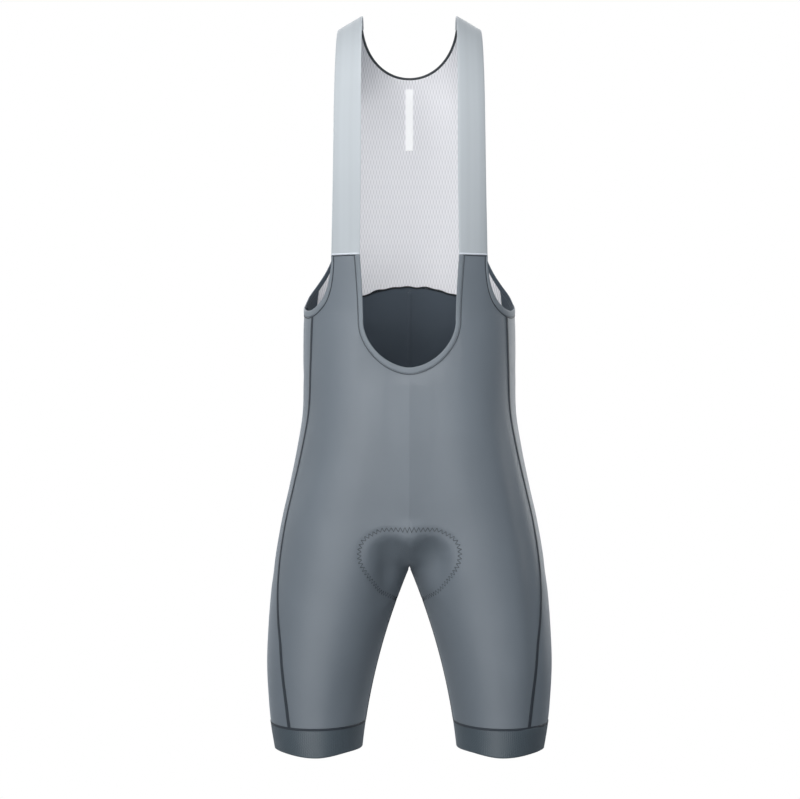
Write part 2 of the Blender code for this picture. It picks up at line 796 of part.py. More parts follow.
def label():
    """A ribbon inside the mesh, on the centre line below the neck."""
    rows = []
    for share in (0.0, 0.5, 1.0):
        height = mix(LABEL_BOTTOM, LABEL_TOP, share)
        turn = turn_at("back", LABEL_WIDTH / 2, height)
        row = full_width(on_skin([(turn, height), (4.0, height)]))
        depth = MESH_WALL + SEAM_GAP
        rows.append([(point - normal * depth, normal) for point, normal in row])
    return rows


def seat_pad():
    """The pad follows the inner face of the panels, over the crotch and out onto each thigh."""
    grid = []
    for side, centre_height, edge_turn, edge_height in PAD:
        start = 4.0 if side > 0 else 0.0
        places = []
        for column in range(PAD_COLUMNS + 1):
            share = 1 - column / PAD_COLUMNS
            turn = abs(start - edge_turn * share)
            places.append((turn, mix(centre_height, edge_height, share)))
        spots = on_skin(places)
        beside = skin_normal(abs(start - CREASE_TURN), centre_height)
        row = full_width(spots)
        middle = len(row) // 2
        lean = max(abs(beside.dot(row[middle][1])), CREASE_LIMIT)
        depth = WALL + PAD_CLEAR
        lifted = []
        for column, (point, normal) in enumerate(row):
            deep = depth / lean if column == middle else depth
            lifted.append((point - normal * deep, normal))
        grid.append(lifted)
    return grid


def pad_thickness(row, column):
    """Thick in the middle, thin at the edge all round."""
    across = 1 - abs(column / PAD_COLUMNS - 1)
    along = min(row, len(PAD) - 1 - row) / PAD_FULL_ROWS
    return mix(PAD_EDGE, PAD_MIDDLE, ease(across / PAD_FULL_ACROSS) * ease(along))


def build():
    for thing in list(bpy.data.objects):
        bpy.data.objects.remove(thing, do_unlink=True)
    cut = Cut()
    front = make_material("front_lycra", (0.215, 0.242, 0.270), 0.62)
    side = make_material("side_lycra", (0.190, 0.215, 0.242), 0.62)
    seat = make_material("seat_lycra", (0.205, 0.232, 0.258), 0.62)
    net = make_material("mesh", (0.66, 0.65, 0.69), 0.75)
    brace = make_material("strap", (0.56, 0.61, 0.66), 0.55)
    band = make_material("gripper", (0.095, 0.112, 0.130), 0.55)
    trim = make_material("binding", (0.200, 0.226, 0.252), 0.60)
    neck = make_material("neck_binding", (0.075, 0.085, 0.095), 0.65)
    ribbon = make_material("label", (0.86, 0.87, 0.88), 0.70)
    pad = make_material("pad", (0.080, 0.090, 0.105), 0.85)
    add_pair("front", front_panel(cut), front, WALL)
    add_pair("side", side_panel(cut), side, WALL)
    add_pair("seat", seat_panel(cut), seat, WALL)
    add_wall("back_mesh", mesh_panel(cut), net, MESH_WALL)
    add_pair("strap", strap(cut), brace, STRAP_WALL)
    add_pair("gripper", gripper(cut), band, GRIPPER_WALL, BINDING_STANDS, closed=True)
    add_wall("scoop_binding", scoop_binding(), trim, BINDING_WALL, BINDING_STANDS)
    add_pair("armhole_binding", armhole_binding(cut), trim, BINDING_WALL, BINDING_STANDS)
    add_wall("neck_binding", neck_binding(), neck, NECK_BINDING_WALL, BINDING_STANDS)
    add_wall("neck_label", label(), ribbon, LABEL_WALL)
    add_wall("seat_pad", seat_pad(), pad, pad_thickness)


build()
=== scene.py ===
"""The looks of the cycling bib shorts: cloth walls, seams, stitches, mesh, bindings and seat pad.

Metres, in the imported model's frame: +Z up, the front faces -Y and the wearer's left is +X. Each
cloth piece is a fine wall on the same body surface as its solid. A place on that surface is
(turn, height), on the +X half: turn 0 is the centre front (or the inseam, below the crotch), 1 the
front of the leg, 2 the outer side, 3 the back of the leg and 4 the centre back (or the inseam
again). The -X half mirrors it.
"""

import math
from collections import defaultdict, namedtuple

import bpy
import numpy as np
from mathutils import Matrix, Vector


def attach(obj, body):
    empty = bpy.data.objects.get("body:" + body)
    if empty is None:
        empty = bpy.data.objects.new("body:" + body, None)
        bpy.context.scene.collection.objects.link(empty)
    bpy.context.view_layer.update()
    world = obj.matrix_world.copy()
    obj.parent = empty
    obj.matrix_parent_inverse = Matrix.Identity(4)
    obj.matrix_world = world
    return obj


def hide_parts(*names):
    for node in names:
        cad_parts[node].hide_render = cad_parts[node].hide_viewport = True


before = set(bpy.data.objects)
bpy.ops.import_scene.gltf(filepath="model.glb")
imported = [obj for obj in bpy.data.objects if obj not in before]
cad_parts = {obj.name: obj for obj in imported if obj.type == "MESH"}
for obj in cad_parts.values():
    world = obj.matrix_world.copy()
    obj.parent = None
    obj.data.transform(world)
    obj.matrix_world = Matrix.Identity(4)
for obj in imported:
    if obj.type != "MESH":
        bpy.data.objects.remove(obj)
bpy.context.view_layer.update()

# The pattern's driving heights, as in the solids
HEM = -0.9085
GRIPPER_TOP = -0.8757
CROTCH = -0.6785
SCOOP_BOTTOM_SEAM = -0.4400
SCOOP_BOTTOM_EDGE = -0.4324
SCOOP_SHOULDER = -0.3770
BLOCK_BASE = -0.4660
STRAP_JOIN = -0.2965
MESH_MIDDLE_BOTTOM = -0.3260
WAIST = -0.3600

# Cloth
SEAM_GAP = 0.00002
WALL = 0.0012
MESH_WALL = 0.0010
STRAP_WALL = 0.0013
GRIPPER_WALL = 0.0018
BINDING_WALL = 0.0022
NECK_BINDING_WALL = 0.0020
LABEL_WALL = 0.0005
EDGE_ROLL = 0.0003
PANEL_ROLL = 0.00006

FIGURE = (
    # height, half_width, front, back
    (-0.910, 0.1665, 0.0660, 0.0660),
    (-0.876, 0.1722, 0.0700, 0.0705),
    (-0.850, 0.1750, 0.0730, 0.0750),
    (-0.800, 0.1776, 0.0800, 0.0830),
    (-0.750, 0.1757, 0.0850, 0.0930),
    (-0.710, 0.1725, 0.0890, 0.1040),
    (-0.679, 0.1688, 0.0930, 0.1150),
    (-0.650, 0.1645, 0.0960, 0.1250),
    (-0.615, 0.1580, 0.0985, 0.1310),
    (-0.580, 0.1500, 0.1015, 0.1310),
    (-0.530, 0.1398, 0.1030, 0.1230),
    (-0.485, 0.1330, 0.1020, 0.1110),
    (-0.430, 0.1325, 0.0990, 0.0960),
    (-0.385, 0.1322, 0.0960, 0.0885),
    (-0.350, 0.1315, 0.0950, 0.0880),
    (-0.300, 0.1372, 0.0970, 0.0930),
    (-0.250, 0.1450, 0.1020, 0.1010),
    (-0.200, 0.1500, 0.1050, 0.1070),
    (-0.150, 0.1530, 0.1040, 0.1100),
    (-0.100, 0.1520, 0.1000, 0.1080),
    (0.020, 0.1490, 0.0900, 0.0950),
)
ROUNDNESS = 2.15
WAIST_CENTRE = 0.015
CENTRE_POWER = 1.3
LEG_SPREAD = 0.42
LEG_SPREAD_EASES = 0.70
RISE_FRONT = 0.055
RISE_BACK = 0.100
CLEFT_FADES = 0.060
SHOULDER_INNER = 0.0585
SHOULDER_HEIGHT = 0.0075
SHOULDER_SLOPE = 0.58
SHOULDER_ARCH = 0.100

FRONT_SEAM = (
    # height, degrees round the outer side of the leg: 0 faces front, 90 is the side, 180 faces back
    (-0.876, 32.0),
    (-0.850, 34.5),
    (-0.822, 38.0),
    (-0.772, 45.5),
    (-0.745, 51.6),
    (-0.722, 56.4),
    (-0.698, 60.6),
    (-0.670, 63.8),
    (-0.640, 65.7),
    (-0.610, 66.5),
    (-0.580, 66.4),
    (-0.531, 64.9),
    (-0.450, 63.0),
    (-0.360, 62.0),
)
BACK_SEAM = (
    # height, degrees
    (-0.876, 140.0),
    (-0.822, 136.0),
    (-0.772, 130.0),
    (-0.722, 122.0),
    (-0.660, 115.0),
    (-0.585, 113.0),
    (-0.531, 115.0),
    (-0.450, 117.0),
    (-0.360, 118.0),
    (-0.340, 120.5),
    (-0.310, 128.0),
)
ARMHOLE = (
    # face, half_width, height, binding
    ("front", 0.0950, -0.2965, 0.0026),
    ("front", 0.0953, -0.3080, 0.0030),
    ("front", 0.0977, -0.3240, 0.0042),
    ("front", 0.1018, -0.3385, 0.0058),
    ("front", 0.1085, -0.3510, 0.0072),
    ("front", 0.1185, -0.3600, 0.0080),
    ("front", 0.1270, -0.3610, 0.0080),
    ("back", 0.1308, -0.3525, 0.0078),
    ("back", 0.1265, -0.3405, 0.0072),
    ("back", 0.1180, -0.3265, 0.0064),
    ("back", 0.1085, -0.3105, 0.0056),
    ("back", 0.1005, -0.2925, 0.0050),
    ("back", 0.0965, -0.2735, 0.0046),
    ("back", 0.0950, -0.2450, 0.0044),
    ("back", 0.0940, -0.2000, 0.0042),
    ("back", 0.0930, -0.1500, 0.0040),
    ("back", 0.0920, -0.1000, 0.0038),
    ("back", 0.0908, -0.0600, 0.0036),
    ("back", 0.0892, -0.0204, 0.0035),
)
# The scoop's bound edge and its seam: half width, how far it spreads up to the strap, bottom
SCOOP_EDGE = (0.0560, 0.0040, SCOOP_BOTTOM_EDGE)
SCOOP_SEAM = (0.0610, 0.0047, SCOOP_BOTTOM_SEAM)
SCOOP_ROUNDNESS = 1.8
SCOOP_FLARE = 1.5
# The neck's bound edge and its seam: half width, bottom
NECK_EDGE = (0.0590, -0.0532)
NECK_SEAM = (0.0620, -0.0562)
NECK_ARC = 82.0
STRAP_BACK_ANGLE = 66.0
STRAP_EDGES = (
    # run (0 the join, 1 the foot of the shoulder arch, 2 its top, 3 its foot behind), inner, outer
    (0.0, 0.0600, 0.0950),
    (0.5, 0.0587, 0.0928),
    (1.0, 0.0585, 0.0915),
    (2.0, 0.0585, 0.0892),
    (3.0, 0.0585, 0.0890),
)
PAD = (
    # row, side (-1 front, 1 back), centre_height, edge_turn, edge_height
    (0, -1, -0.6265, 0.51, -0.6282),
    (1, -1, -0.6355, 0.75, -0.6378),
    (2, -1, -0.6440, 0.83, -0.6492),
    (3, -1, -0.6570, 0.83, -0.6640),
    (4, -1, -0.6665, 0.77, -0.6780),
    (5, -1, -0.6730, 0.62, -0.6945),
    (6, -1, -0.6770, 0.42, -0.7092),
    (7, 0, -0.6785, 0.00, -0.7200),
    (8, 1, -0.6770, 0.40, -0.7120),
    (9, 1, -0.6730, 0.62, -0.7000),
    (10, 1, -0.6665, 0.78, -0.6860),
    (11, 1, -0.6570, 0.90, -0.6680),
    (12, 1, -0.6440, 0.98, -0.6460),
    (13, 1, -0.6270, 1.00, -0.6220),
    (14, 1, -0.6050, 0.96, -0.5980),
    (15, 1, -0.5800, 0.80, -0.5740),
    (16, 1, -0.5600, 0.45, -0.5590),
)
PAD_CROTCH_ROW = 7
PAD_LAST_ROW = PAD[-1][0]
LABEL_WIDTH = 0.0094
LABEL_TOP = -0.0682
LABEL_BOTTOM = -0.1474

# How finely the cloth is divided
ROW_STEP = 0.0030
CROTCH_ROWS = 13
CROTCH_FIRST = 0.00011
PANEL_COLUMNS = 64
SCOOP_COLUMNS = 38
SIDE_COLUMNS = 30
BLOCK_ROWS = 34
MESH_CORNER_SHARE = 5 / 7
UPRIGHT_COUNT = 28
MESH_STRAP_COLUMNS = 16
MESH_NECK_COLUMNS = 78
MESH_SEAM_ROWS = 22
MESH_EDGE_ROWS = 200
MESH_BOTTOM_PASSES = 4
CURVE_SAMPLES = 1200
TURN_STEP = 0.02
HEIGHT_STEP = 0.0004
RUN_STEP = 0.02
# Between these heights the front panel's columns move from even to their places round the scoop
COLUMNS_SHIFT = (-0.600, -0.400)
# Edges that turn by more than so many degrees look sharp
WALL_SHARP = 50.0
BAND_SHARP = 180.0
# The seam gap counts a wall's corner as no sharper than this
SHARPEST_CORNER = 0.5


def mix(low, high, share):
    return low + (high - low) * share


def ease(share):
    share = np.clip(share, 0.0, 1.0)
    return share * share * (3 - 2 * share)


def stops(count, first=0.0, last=1.0):
    """The ends of this many even steps."""
    return np.linspace(first, last, count + 1)


def read_table(table, column, key):
    """A smooth curve through one column of a table whose first column rises."""
    keys = np.array([row[0] for row in table], float)
    values = np.array([row[column] for row in table], float)
    slopes_at = np.empty_like(values)
    slopes_at[1:-1] = (values[2:] - values[:-2]) / (keys[2:] - keys[:-2])
    slopes_at[0] = (values[1] - values[0]) / (keys[1] - keys[0])
    slopes_at[-1] = (values[-1] - values[-2]) / (keys[-1] - keys[-2])
    key = np.clip(key, keys[0], keys[-1])
    low = np.clip(np.searchsorted(keys, key, side="right") - 1, 0, len(keys) - 2)
    span = keys[low + 1] - keys[low]
    t = (key - keys[low]) / span
    start = (1 + 2 * t) * (1 - t) ** 2 * values[low] + t * (1 - t) ** 2 * span * slopes_at[low]
    end = t * t * (3 - 2 * t) * values[low + 1] + t * t * (t - 1) * span * slopes_at[low + 1]
    return start + end


# The body surface


def inner_leg(height):
    below = np.maximum(CROTCH - height, 0.0)
    return LEG_SPREAD * below - LEG_SPREAD_EASES * below * below


def leg_centre(height):
    half_width = read_table(FIGURE, 1, height)
    share = np.clip((WAIST - height) / (WAIST - CROTCH), 0.0, 1.0)
    at_crotch = read_table(FIGURE, 1, CROTCH) / 2
    above = mix(WAIST_CENTRE, at_crotch, share**CENTRE_POWER)
    return np.where(height <= CROTCH, (half_width + inner_leg(height)) / 2, above)


def centre_rise(height, rise):
    share = np.clip((height - CROTCH) / rise, 0.0, 1.0)
    start = 2 * LEG_SPREAD / leg_centre(CROTCH) * rise
    return start * (share - 2 * share**2 + share**3) + 3 * share**2 - 2 * share**3


def shoulder_height(half_width):
    return SHOULDER_HEIGHT - SHOULDER_SLOPE * (half_width - SHOULDER_INNER)


def shoulder_arch(half_width, height):
    below = np.clip((shoulder_height(half_width) - height) / SHOULDER_ARCH, 0.0, 1.0)
    return np.sqrt(np.maximum(1 - (1 - below) ** 2, 0.0))


def skin(turn, height):
    """The points of the body surface at these turns and heights, on the +X half."""
    turn, height = np.broadcast_arrays(np.asarray(turn, float), np.asarray(height, float))
    half_width = read_table(FIGURE, 1, height)
    centre = leg_centre(height)
    front = turn <= 2
    depth = np.where(front, read_table(FIGURE, 2, height), read_table(FIGURE, 3, height))
    from_centre = np.where(front, turn, 4 - turn)
    angle = np.radians(90 * np.clip(from_centre - 1, 0.0, 1.0))
    outer_x = centre + (half_width - centre) * np.abs(np.sin(angle)) ** (2 / ROUNDNESS)
    outer_y = depth * np.abs(np.cos(angle)) ** (2 / ROUNDNESS)
    near = np.clip(from_centre, 0.0, 1.0)
    closed = ease((height - CROTCH) / CLEFT_FADES)
    share = mix(1 - np.cos(np.radians(90 * near)), near, closed)
    fullness = mix(2 * share - share**2, share**2 * (3 - 2 * share), closed)
    rise = centre_rise(height, np.where(front, RISE_FRONT, RISE_BACK))
    inner_y = depth * np.sqrt(np.maximum(mix(rise, 1.0, fullness), 0.0))
    outer = from_centre >= 1
    x = np.where(outer, outer_x, mix(inner_leg(height), centre, share))
    y = np.where(outer, outer_y, inner_y) * shoulder_arch(x, height)
    return np.stack([x, np.where(front, -y, y), height], -1)


def unit(vectors):
    return vectors / np.maximum(np.linalg.norm(vectors, axis=-1, keepdims=True), 1e-12)


def slopes(turn, height):
    """How the surface runs with turn and with height."""
    low = np.maximum(turn - TURN_STEP, 0.0)
    high = np.minimum(turn + TURN_STEP, 4.0)
    along = (skin(high, height) - skin(low, height)) / np.asarray(high - low)[..., None]
    up = (skin(turn, height + HEIGHT_STEP) - skin(turn, height - HEIGHT_STEP)) / (2 * HEIGHT_STEP)
    return along, up


def skin_normal(turn, height):
    """The directions out of the cloth."""
    turn, height = np.broadcast_arrays(np.asarray(turn, float), np.asarray(height, float))
    normal = unit(np.cross(*slopes(turn, height)))
    apex = ((turn <= 0) | (turn >= 4)) & (np.abs(height - CROTCH) < HEIGHT_STEP)
    return np.where(apex[..., None], np.array([0.0, 0.0, -1.0]), normal)


def turn_at(face, half_width, height):
    """The turns of the places on that face at these half widths."""
    centre = leg_centre(height)
    side = read_table(FIGURE, 1, height)
    share = np.clip((half_width - centre) / (side - centre), 0.0, 1.0)
    outer = 1 + np.degrees(np.arcsin(share ** (ROUNDNESS / 2))) / 90
    from_centre = np.where(half_width <= centre, half_width / centre, outer)
    return from_centre if face == "front" else 4 - from_centre


# Seams and bound edges


def front_seam(height):
    return 1 + read_table(FRONT_SEAM, 1, height) / 90


def back_seam(height):
    return 1 + read_table(BACK_SEAM, 1, height) / 90


def step_on_skin(turn, height, move):
    """The (turn, height) that lie this small move away."""
    along, up = slopes(turn, height)
    a, b, c = (along * along).sum(-1), (along * up).sum(-1), (up * up).sum(-1)
    d, e = (along * move).sum(-1), (up * move).sum(-1)
    spread = a * c - b * b
    return turn + (d * c - e * b) / spread, height + (a * e - b * d) / spread


def armhole_curves():
    """The armhole's edge and its binding's seam, each as (turn, height), from chest to back."""
    stations = [(i, turn_at(face, width, height), height, binding)
                for i, (face, width, height, binding) in enumerate(ARMHOLE)]
    last = len(stations) - 1
    run = stops(CURVE_SAMPLES, 0, last)
    turn, height, binding = (read_table(stations, column, run) for column in (1, 2, 3))
    ahead, behind = (
        skin(*(read_table(stations, column, np.clip(run + move, 0, last)) for column in (1, 2)))
        for move in (RUN_STEP, -RUN_STEP))
    inward = np.cross(skin_normal(turn, height), unit(ahead - behind))
    seam = step_on_skin(turn, height, inward * -binding[:, None])
    return np.stack([turn, height], -1), np.stack(seam, -1)


def crossing(curve, seam_line, start):
    """Where along the curve it first passes this seam line, as a run of samples."""
    beyond = curve[:, 0] - seam_line(curve[:, 1])
    place = start + np.flatnonzero((beyond[start:-1] < 0) & (beyond[start + 1:] >= 0))[0]
    return place + beyond[place] / (beyond[place] - beyond[place + 1])


def along_curve(curve, run):
    samples = np.arange(len(curve))
    return np.interp(run, samples, curve[:, 0]), np.interp(run, samples, curve[:, 1])


def runs_at_heights(curve, heights, first, last):
    """The runs from first to last where the curve, which only rises or falls, has these heights."""
    runs = np.arange(int(first), int(last) + 1)
    levels = curve[runs, 1]
    if levels[0] > levels[-1]:
        runs, levels = runs[::-1], levels[::-1]
    return np.interp(heights, np.maximum.accumulate(levels), runs)


def scoop_place(height, line):
    """Half widths of the scoop's seam or edge at these heights of the seam, and its own heights."""
    width, spread, bottom = line
    share = np.clip((height - SCOOP_SHOULDER) / (STRAP_JOIN - SCOOP_SHOULDER), 0.0, 1.0)
    down = np.clip((SCOOP_SHOULDER - height) / (SCOOP_SHOULDER - SCOOP_BOTTOM_SEAM), 0.0, 1.0)
    across = np.maximum(1 - down**SCOOP_ROUNDNESS, 0.0) ** (1 / SCOOP_ROUNDNESS)
    straight = height >= SCOOP_SHOULDER
    half_width = np.where(straight, width + spread * share**SCOOP_FLARE, width * across)
    return half_width, np.where(straight, height, mix(SCOOP_SHOULDER, bottom, down))


def strap_back_height(half_width):
    """The height of the seam behind the shoulder where the strap meets the mesh."""
    down = 1 - math.sin(math.radians(STRAP_BACK_ANGLE))
    return shoulder_height(half_width) - SHOULDER_ARCH * down


def neck_place(share, line):
    """(half width, height) on the neck's oval: share 0 at its bottom, 1 at the strap."""
    width, bottom = line
    arc = math.radians(NECK_ARC)
    up = (1 - np.cos(arc * share)) / (1 - math.cos(arc))
    return width * np.sin(arc * share) / math.sin(arc), mix(bottom, strap_back_height(width), up)


armhole_edge, armhole_seam = armhole_curves()
FRONT_CORNER = crossing(armhole_seam, front_seam, 0)
BACK_CORNER = crossing(armhole_seam, back_seam, int(FRONT_CORNER) + 1)
FRONT_CORNER_HEIGHT = along_curve(armhole_seam, FRONT_CORNER)[1]
BACK_CORNER_HEIGHT = along_curve(armhole_seam, BACK_CORNER)[1]


def low_rows():
    """A column of heights from gripper to block: even, but closer just above the crotch."""
    leg = stops(round((CROTCH - GRIPPER_TOP) / ROW_STEP), GRIPPER_TOP, CROTCH)
    near = CROTCH + CROTCH_FIRST * np.arange(1, CROTCH_ROWS + 1) ** 2
    trunk = stops(round((BLOCK_BASE - near[-1]) / ROW_STEP), near[-1], BLOCK_BASE)
    return np.concatenate([leg, near, trunk[1:]])[:, None]


def block_rises(rows):
    """A column of how far each row above the block's base has climbed."""
    return (np.arange(1, rows + 1) / rows)[:, None]


def scoop_heights(columns):
    """Heights round the scoop's seam, from the centre front to where it turns straight."""
    angle = np.radians(stops(columns, 0, 90))
    drop = SCOOP_SHOULDER - SCOOP_BOTTOM_SEAM
    return SCOOP_SHOULDER - drop * np.abs(np.cos(angle)) ** (2 / SCOOP_ROUNDNESS)


# The panels, as turns and heights with a row for each level and a column across, and a mask of
# the places that are there, or None where all are


def front_panel():
    scoop_height = scoop_heights(SCOOP_COLUMNS)
    scoop_turn = turn_at("front", scoop_place(scoop_height, SCOOP_SEAM)[0], scoop_height)
    corner_turn = front_seam(FRONT_CORNER_HEIGHT)
    beside = PANEL_COLUMNS - SCOOP_COLUMNS
    top_turn = np.append(scoop_turn, stops(beside, scoop_turn[-1], corner_turn)[1:])
    top_height = np.append(scoop_height, stops(beside, scoop_height[-1], FRONT_CORNER_HEIGHT)[1:])
    low, climb = low_rows(), block_rises(BLOCK_ROWS)
    base = np.vstack([low, np.full_like(climb, BLOCK_BASE)])
    rise = np.vstack([np.zeros_like(low), climb])
    level = mix(base, COLUMNS_SHIFT[1], rise)
    shift = ease((level - COLUMNS_SHIFT[0]) / (COLUMNS_SHIFT[1] - COLUMNS_SHIFT[0]))
    across = mix(stops(PANEL_COLUMNS), top_turn / corner_turn, shift)
    turn = front_seam(mix(base, FRONT_CORNER_HEIGHT, rise)) * across
    height = mix(base, top_height, rise)
    upright = stops(UPRIGHT_COUNT, SCOOP_SHOULDER, STRAP_JOIN)[1:]
    inner = turn_at("front", scoop_place(upright, SCOOP_SEAM)[0], upright)
    outer = along_curve(armhole_seam, runs_at_heights(armhole_seam, upright, 0, FRONT_CORNER))
    upright_turn, upright_height = (mix(start[:, None], end[:, None], stops(beside))
                                    for start, end in zip((inner, upright), outer))
    blank = np.zeros((UPRIGHT_COUNT, SCOOP_COLUMNS))
    there = np.ones((len(turn) + UPRIGHT_COUNT, PANEL_COLUMNS + 1), bool)
    there[len(turn):, :SCOOP_COLUMNS] = False
    turn = np.vstack([turn, np.hstack([blank, upright_turn])])
    height = np.vstack([height, np.hstack([blank + SCOOP_SHOULDER, upright_height])])
    return turn, height, there


def side_panel():
    share = stops(SIDE_COLUMNS)
    top_run = stops(SIDE_COLUMNS, FRONT_CORNER, BACK_CORNER)
    top_turn, top_height = along_curve(armhole_seam, top_run)
    low, rise = low_rows(), block_rises(BLOCK_ROWS)
    height = np.vstack([low + 0 * share, mix(BLOCK_BASE, top_height, rise)])
    turn = mix(front_seam(height), back_seam(height), share)
    pulled = top_turn - mix(front_seam(top_height), back_seam(top_height), share)
    turn[len(low):] += pulled * rise**2
    return turn, height, None


def mesh_side_start():
    height = mix(BLOCK_BASE, BACK_CORNER_HEIGHT, MESH_CORNER_SHARE)
    return back_seam(height), height


def mesh_bottom(turn):
    """The heights of the mesh's arched lower edge at these turns."""
    corner = mesh_side_start()
    reach = skin(*corner)[0]
    height = np.full_like(turn, corner[1])
    for _ in range(MESH_BOTTOM_PASSES):
        height = mix(MESH_MIDDLE_BOTTOM, corner[1], (skin(turn, height)[..., 0] / reach) ** 2)
    return height


def seat_panel():
    share = stops(PANEL_COLUMNS)
    top_height = mesh_bottom(mix(mesh_side_start()[0], 4.0, share))
    low, rise = low_rows(), block_rises(round(BLOCK_ROWS * MESH_CORNER_SHARE))
    height = np.vstack([low + 0 * share, mix(BLOCK_BASE, top_height, rise)])
    return mix(back_seam(height), 4.0, share), height, None


def mesh_side():
    """The mesh's outer boundary, from its bottom corner to the strap, as (turn, height)."""
    heights = stops(MESH_SEAM_ROWS, mesh_side_start()[1], BACK_CORNER_HEIGHT)[:-1]
    top = along_curve(armhole_seam, CURVE_SAMPLES)[1]
    climbs = stops(MESH_EDGE_ROWS, BACK_CORNER_HEIGHT, top)
    runs = runs_at_heights(armhole_seam, climbs, math.ceil(BACK_CORNER), CURVE_SAMPLES)
    runs[0] = BACK_CORNER
    turn, height = along_curve(armhole_seam, runs)
    return np.append(back_seam(heights), turn), np.append(heights, height)


def mesh_panel():
    """(turn, height) of one half of the mesh, from its outer boundary to the centre back."""
    side_turn, side_height = mesh_side()
    reach = skin(side_turn, side_height)[:, 0]
    strap_widths = stops(MESH_STRAP_COLUMNS, reach[-1], NECK_SEAM[0])[:-1]
    neck_width, neck_height = neck_place(stops(MESH_NECK_COLUMNS, 1, 0), NECK_SEAM)
    top_width = np.append(strap_widths, neck_width)
    top_height = np.append(strap_back_height(strap_widths), neck_height)
    bottom_turn = mix(side_turn[0], 4.0, stops(len(top_width) - 1))
    bottom_height = mesh_bottom(bottom_turn)
    bottom_share = skin(bottom_turn, bottom_height)[:, 0] / reach[0]
    share = ((side_height - side_height[0]) / (side_height[-1] - side_height[0]))[:, None]
    width = reach[:, None] * mix(bottom_share, top_width / reach[-1], ease(share))
    height = mix(bottom_height, top_height, share)
    turn = turn_at("back", width, height)
    turn[:, 0] = side_turn
    height[:, 0] = side_height
    return turn, height


# Walls


def grid_cells(rows, columns, rows_close, columns_close):
    """The corners of each cell of a grid that may close on itself either way."""
    row, column = np.meshgrid(np.arange(rows if rows_close else rows - 1),
                              np.arange(columns if columns_close else columns - 1), indexing="ij")
    ahead, beside = (row + 1) % rows, (column + 1) % columns
    corners = [row * columns + column, row * columns + beside,
               ahead * columns + beside, ahead * columns + column]
    return np.stack(corners, -1).reshape(-1, 4)


def turned_over(points, cell, out):
    """Whether a cell's corners run so that it faces against out."""
    a, b, _, d = points[cell]
    return bool(np.dot(np.cross(b - a, d - a), out) < 0)


def border_of(cells):
    """The directed edges that only one cell has, each with that cell on its left."""
    edges = np.stack([cells, np.roll(cells, -1, 1)], -1).reshape(-1, 2)
    many = edges.max() + 1
    alone = ~np.isin(edges[:, 1] * many + edges[:, 0], edges[:, 0] * many + edges[:, 1])
    return edges[alone]


def add_object(name, data):
    thing = bpy.data.objects.new(name, data)
    bpy.context.scene.collection.objects.link(thing)
    return thing


def add_mesh(name, points, faces, looks, uv, sharp, face_looks=None):
    data = bpy.data.meshes.new(name)
    data.from_pydata(points.tolist(), [], faces)
    for look in looks:
        data.materials.append(look)
    if face_looks is not None:
        data.polygons.foreach_set("material_index", face_looks.astype(np.int32))
    corner = np.empty(len(data.loops), np.int32)
    data.loops.foreach_get("vertex_index", corner)
    layer = data.uv_layers.new(name="cloth")
    layer.data.foreach_set("uv", uv[corner].astype(np.float32).ravel())
    data.shade_smooth()
    data.set_sharp_from_angle(angle=math.radians(sharp))
    thing = add_object(name, data)
    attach(thing, "root")
    return thing


def wall(name, node, spots, looks, thickness, uv=None, stands=0.0, there=None, closed=False,
         roll=EDGE_ROLL, lift=(0.0, 0.0)):
    """A closed cloth wall with rolled edges in place of a node, its inner face in the last look.

    spots are its grid of points and their normals, and lift is how far its outer and its inner
    face move out along the normals.
    """
    points, normals = spots
    uv = cloth_uv(points) if uv is None else uv
    cells = grid_cells(*points.shape[:2], False, closed)
    if there is not None:
        cells = cells[there.ravel()[cells].all(1)]
    flat, out = points.reshape(-1, 3).copy(), normals.reshape(-1, 3)
    if turned_over(flat, cells[0], out[cells[0][0]]):
        cells = cells[:, ::-1]
    border = border_of(cells)
    direction = unit(flat[border[:, 1]] - flat[border[:, 0]])
    inward = np.zeros_like(flat)
    for end in (0, 1):
        np.add.at(inward, border[:, end], unit(np.cross(out[border[:, end]], direction)))
    at_edge = np.unique(border)
    moved = inward[at_edge]
    longer = np.maximum((moved * moved).sum(-1, keepdims=True), SHARPEST_CORNER)
    flat[at_edge] += moved * (SEAM_GAP / longer)
    sink = np.zeros(len(flat))
    sink[at_edge] = roll
    outer_lift, inner_lift = (np.ravel(part) for part in lift)
    outer = flat + out * (stands - sink + outer_lift)[:, None]
    inner = flat + out * (stands - thickness + sink / 2 + inner_lift)[:, None]
    used = np.unique(cells)
    place = np.full(len(flat), -1)
    place[used] = np.arange(len(used))
    inside = len(used)
    low, high = place[border[:, 0]], place[border[:, 1]]
    faces = [place[cells], place[cells[:, ::-1]] + inside,
             np.stack([high, low, low + inside, high + inside], -1)]
    face_looks = np.repeat([0, len(looks) - 1, 0], [len(part) for part in faces])
    where = np.vstack([outer[used], inner[used]])
    piece = add_mesh(name, where, np.vstack(faces).tolist(), looks,
                     np.tile(uv.reshape(-1, 2)[used], (2, 1)), WALL_SHARP, face_looks)
    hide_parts(node)
    return piece


def lengths_along(points, axis):
    """Distance along the grid's rows (axis 1) or columns (axis 0) from its first point."""
    steps = np.linalg.norm(np.diff(points, axis=axis), axis=-1)
    start = np.zeros_like(np.take(steps, [0], axis=axis))
    return np.concatenate([start, np.cumsum(steps, axis=axis)], axis=axis)


def run_along(points):
    """Distance along a line of points from its first."""
    return lengths_along(points[:, None], 0)[:, 0]


def respaced(points, values, step=None, count=None):
    """The values at even steps along a line of points."""
    run = run_along(points)
    even = stops(count or round(run[-1] / step), 0, run[-1])
    return [np.interp(even, run, part) for part in values]


def cloth_uv(points):
    """Metres across and along the cloth."""
    return np.stack([lengths_along(points, 1), lengths_along(points, 0)], -1)


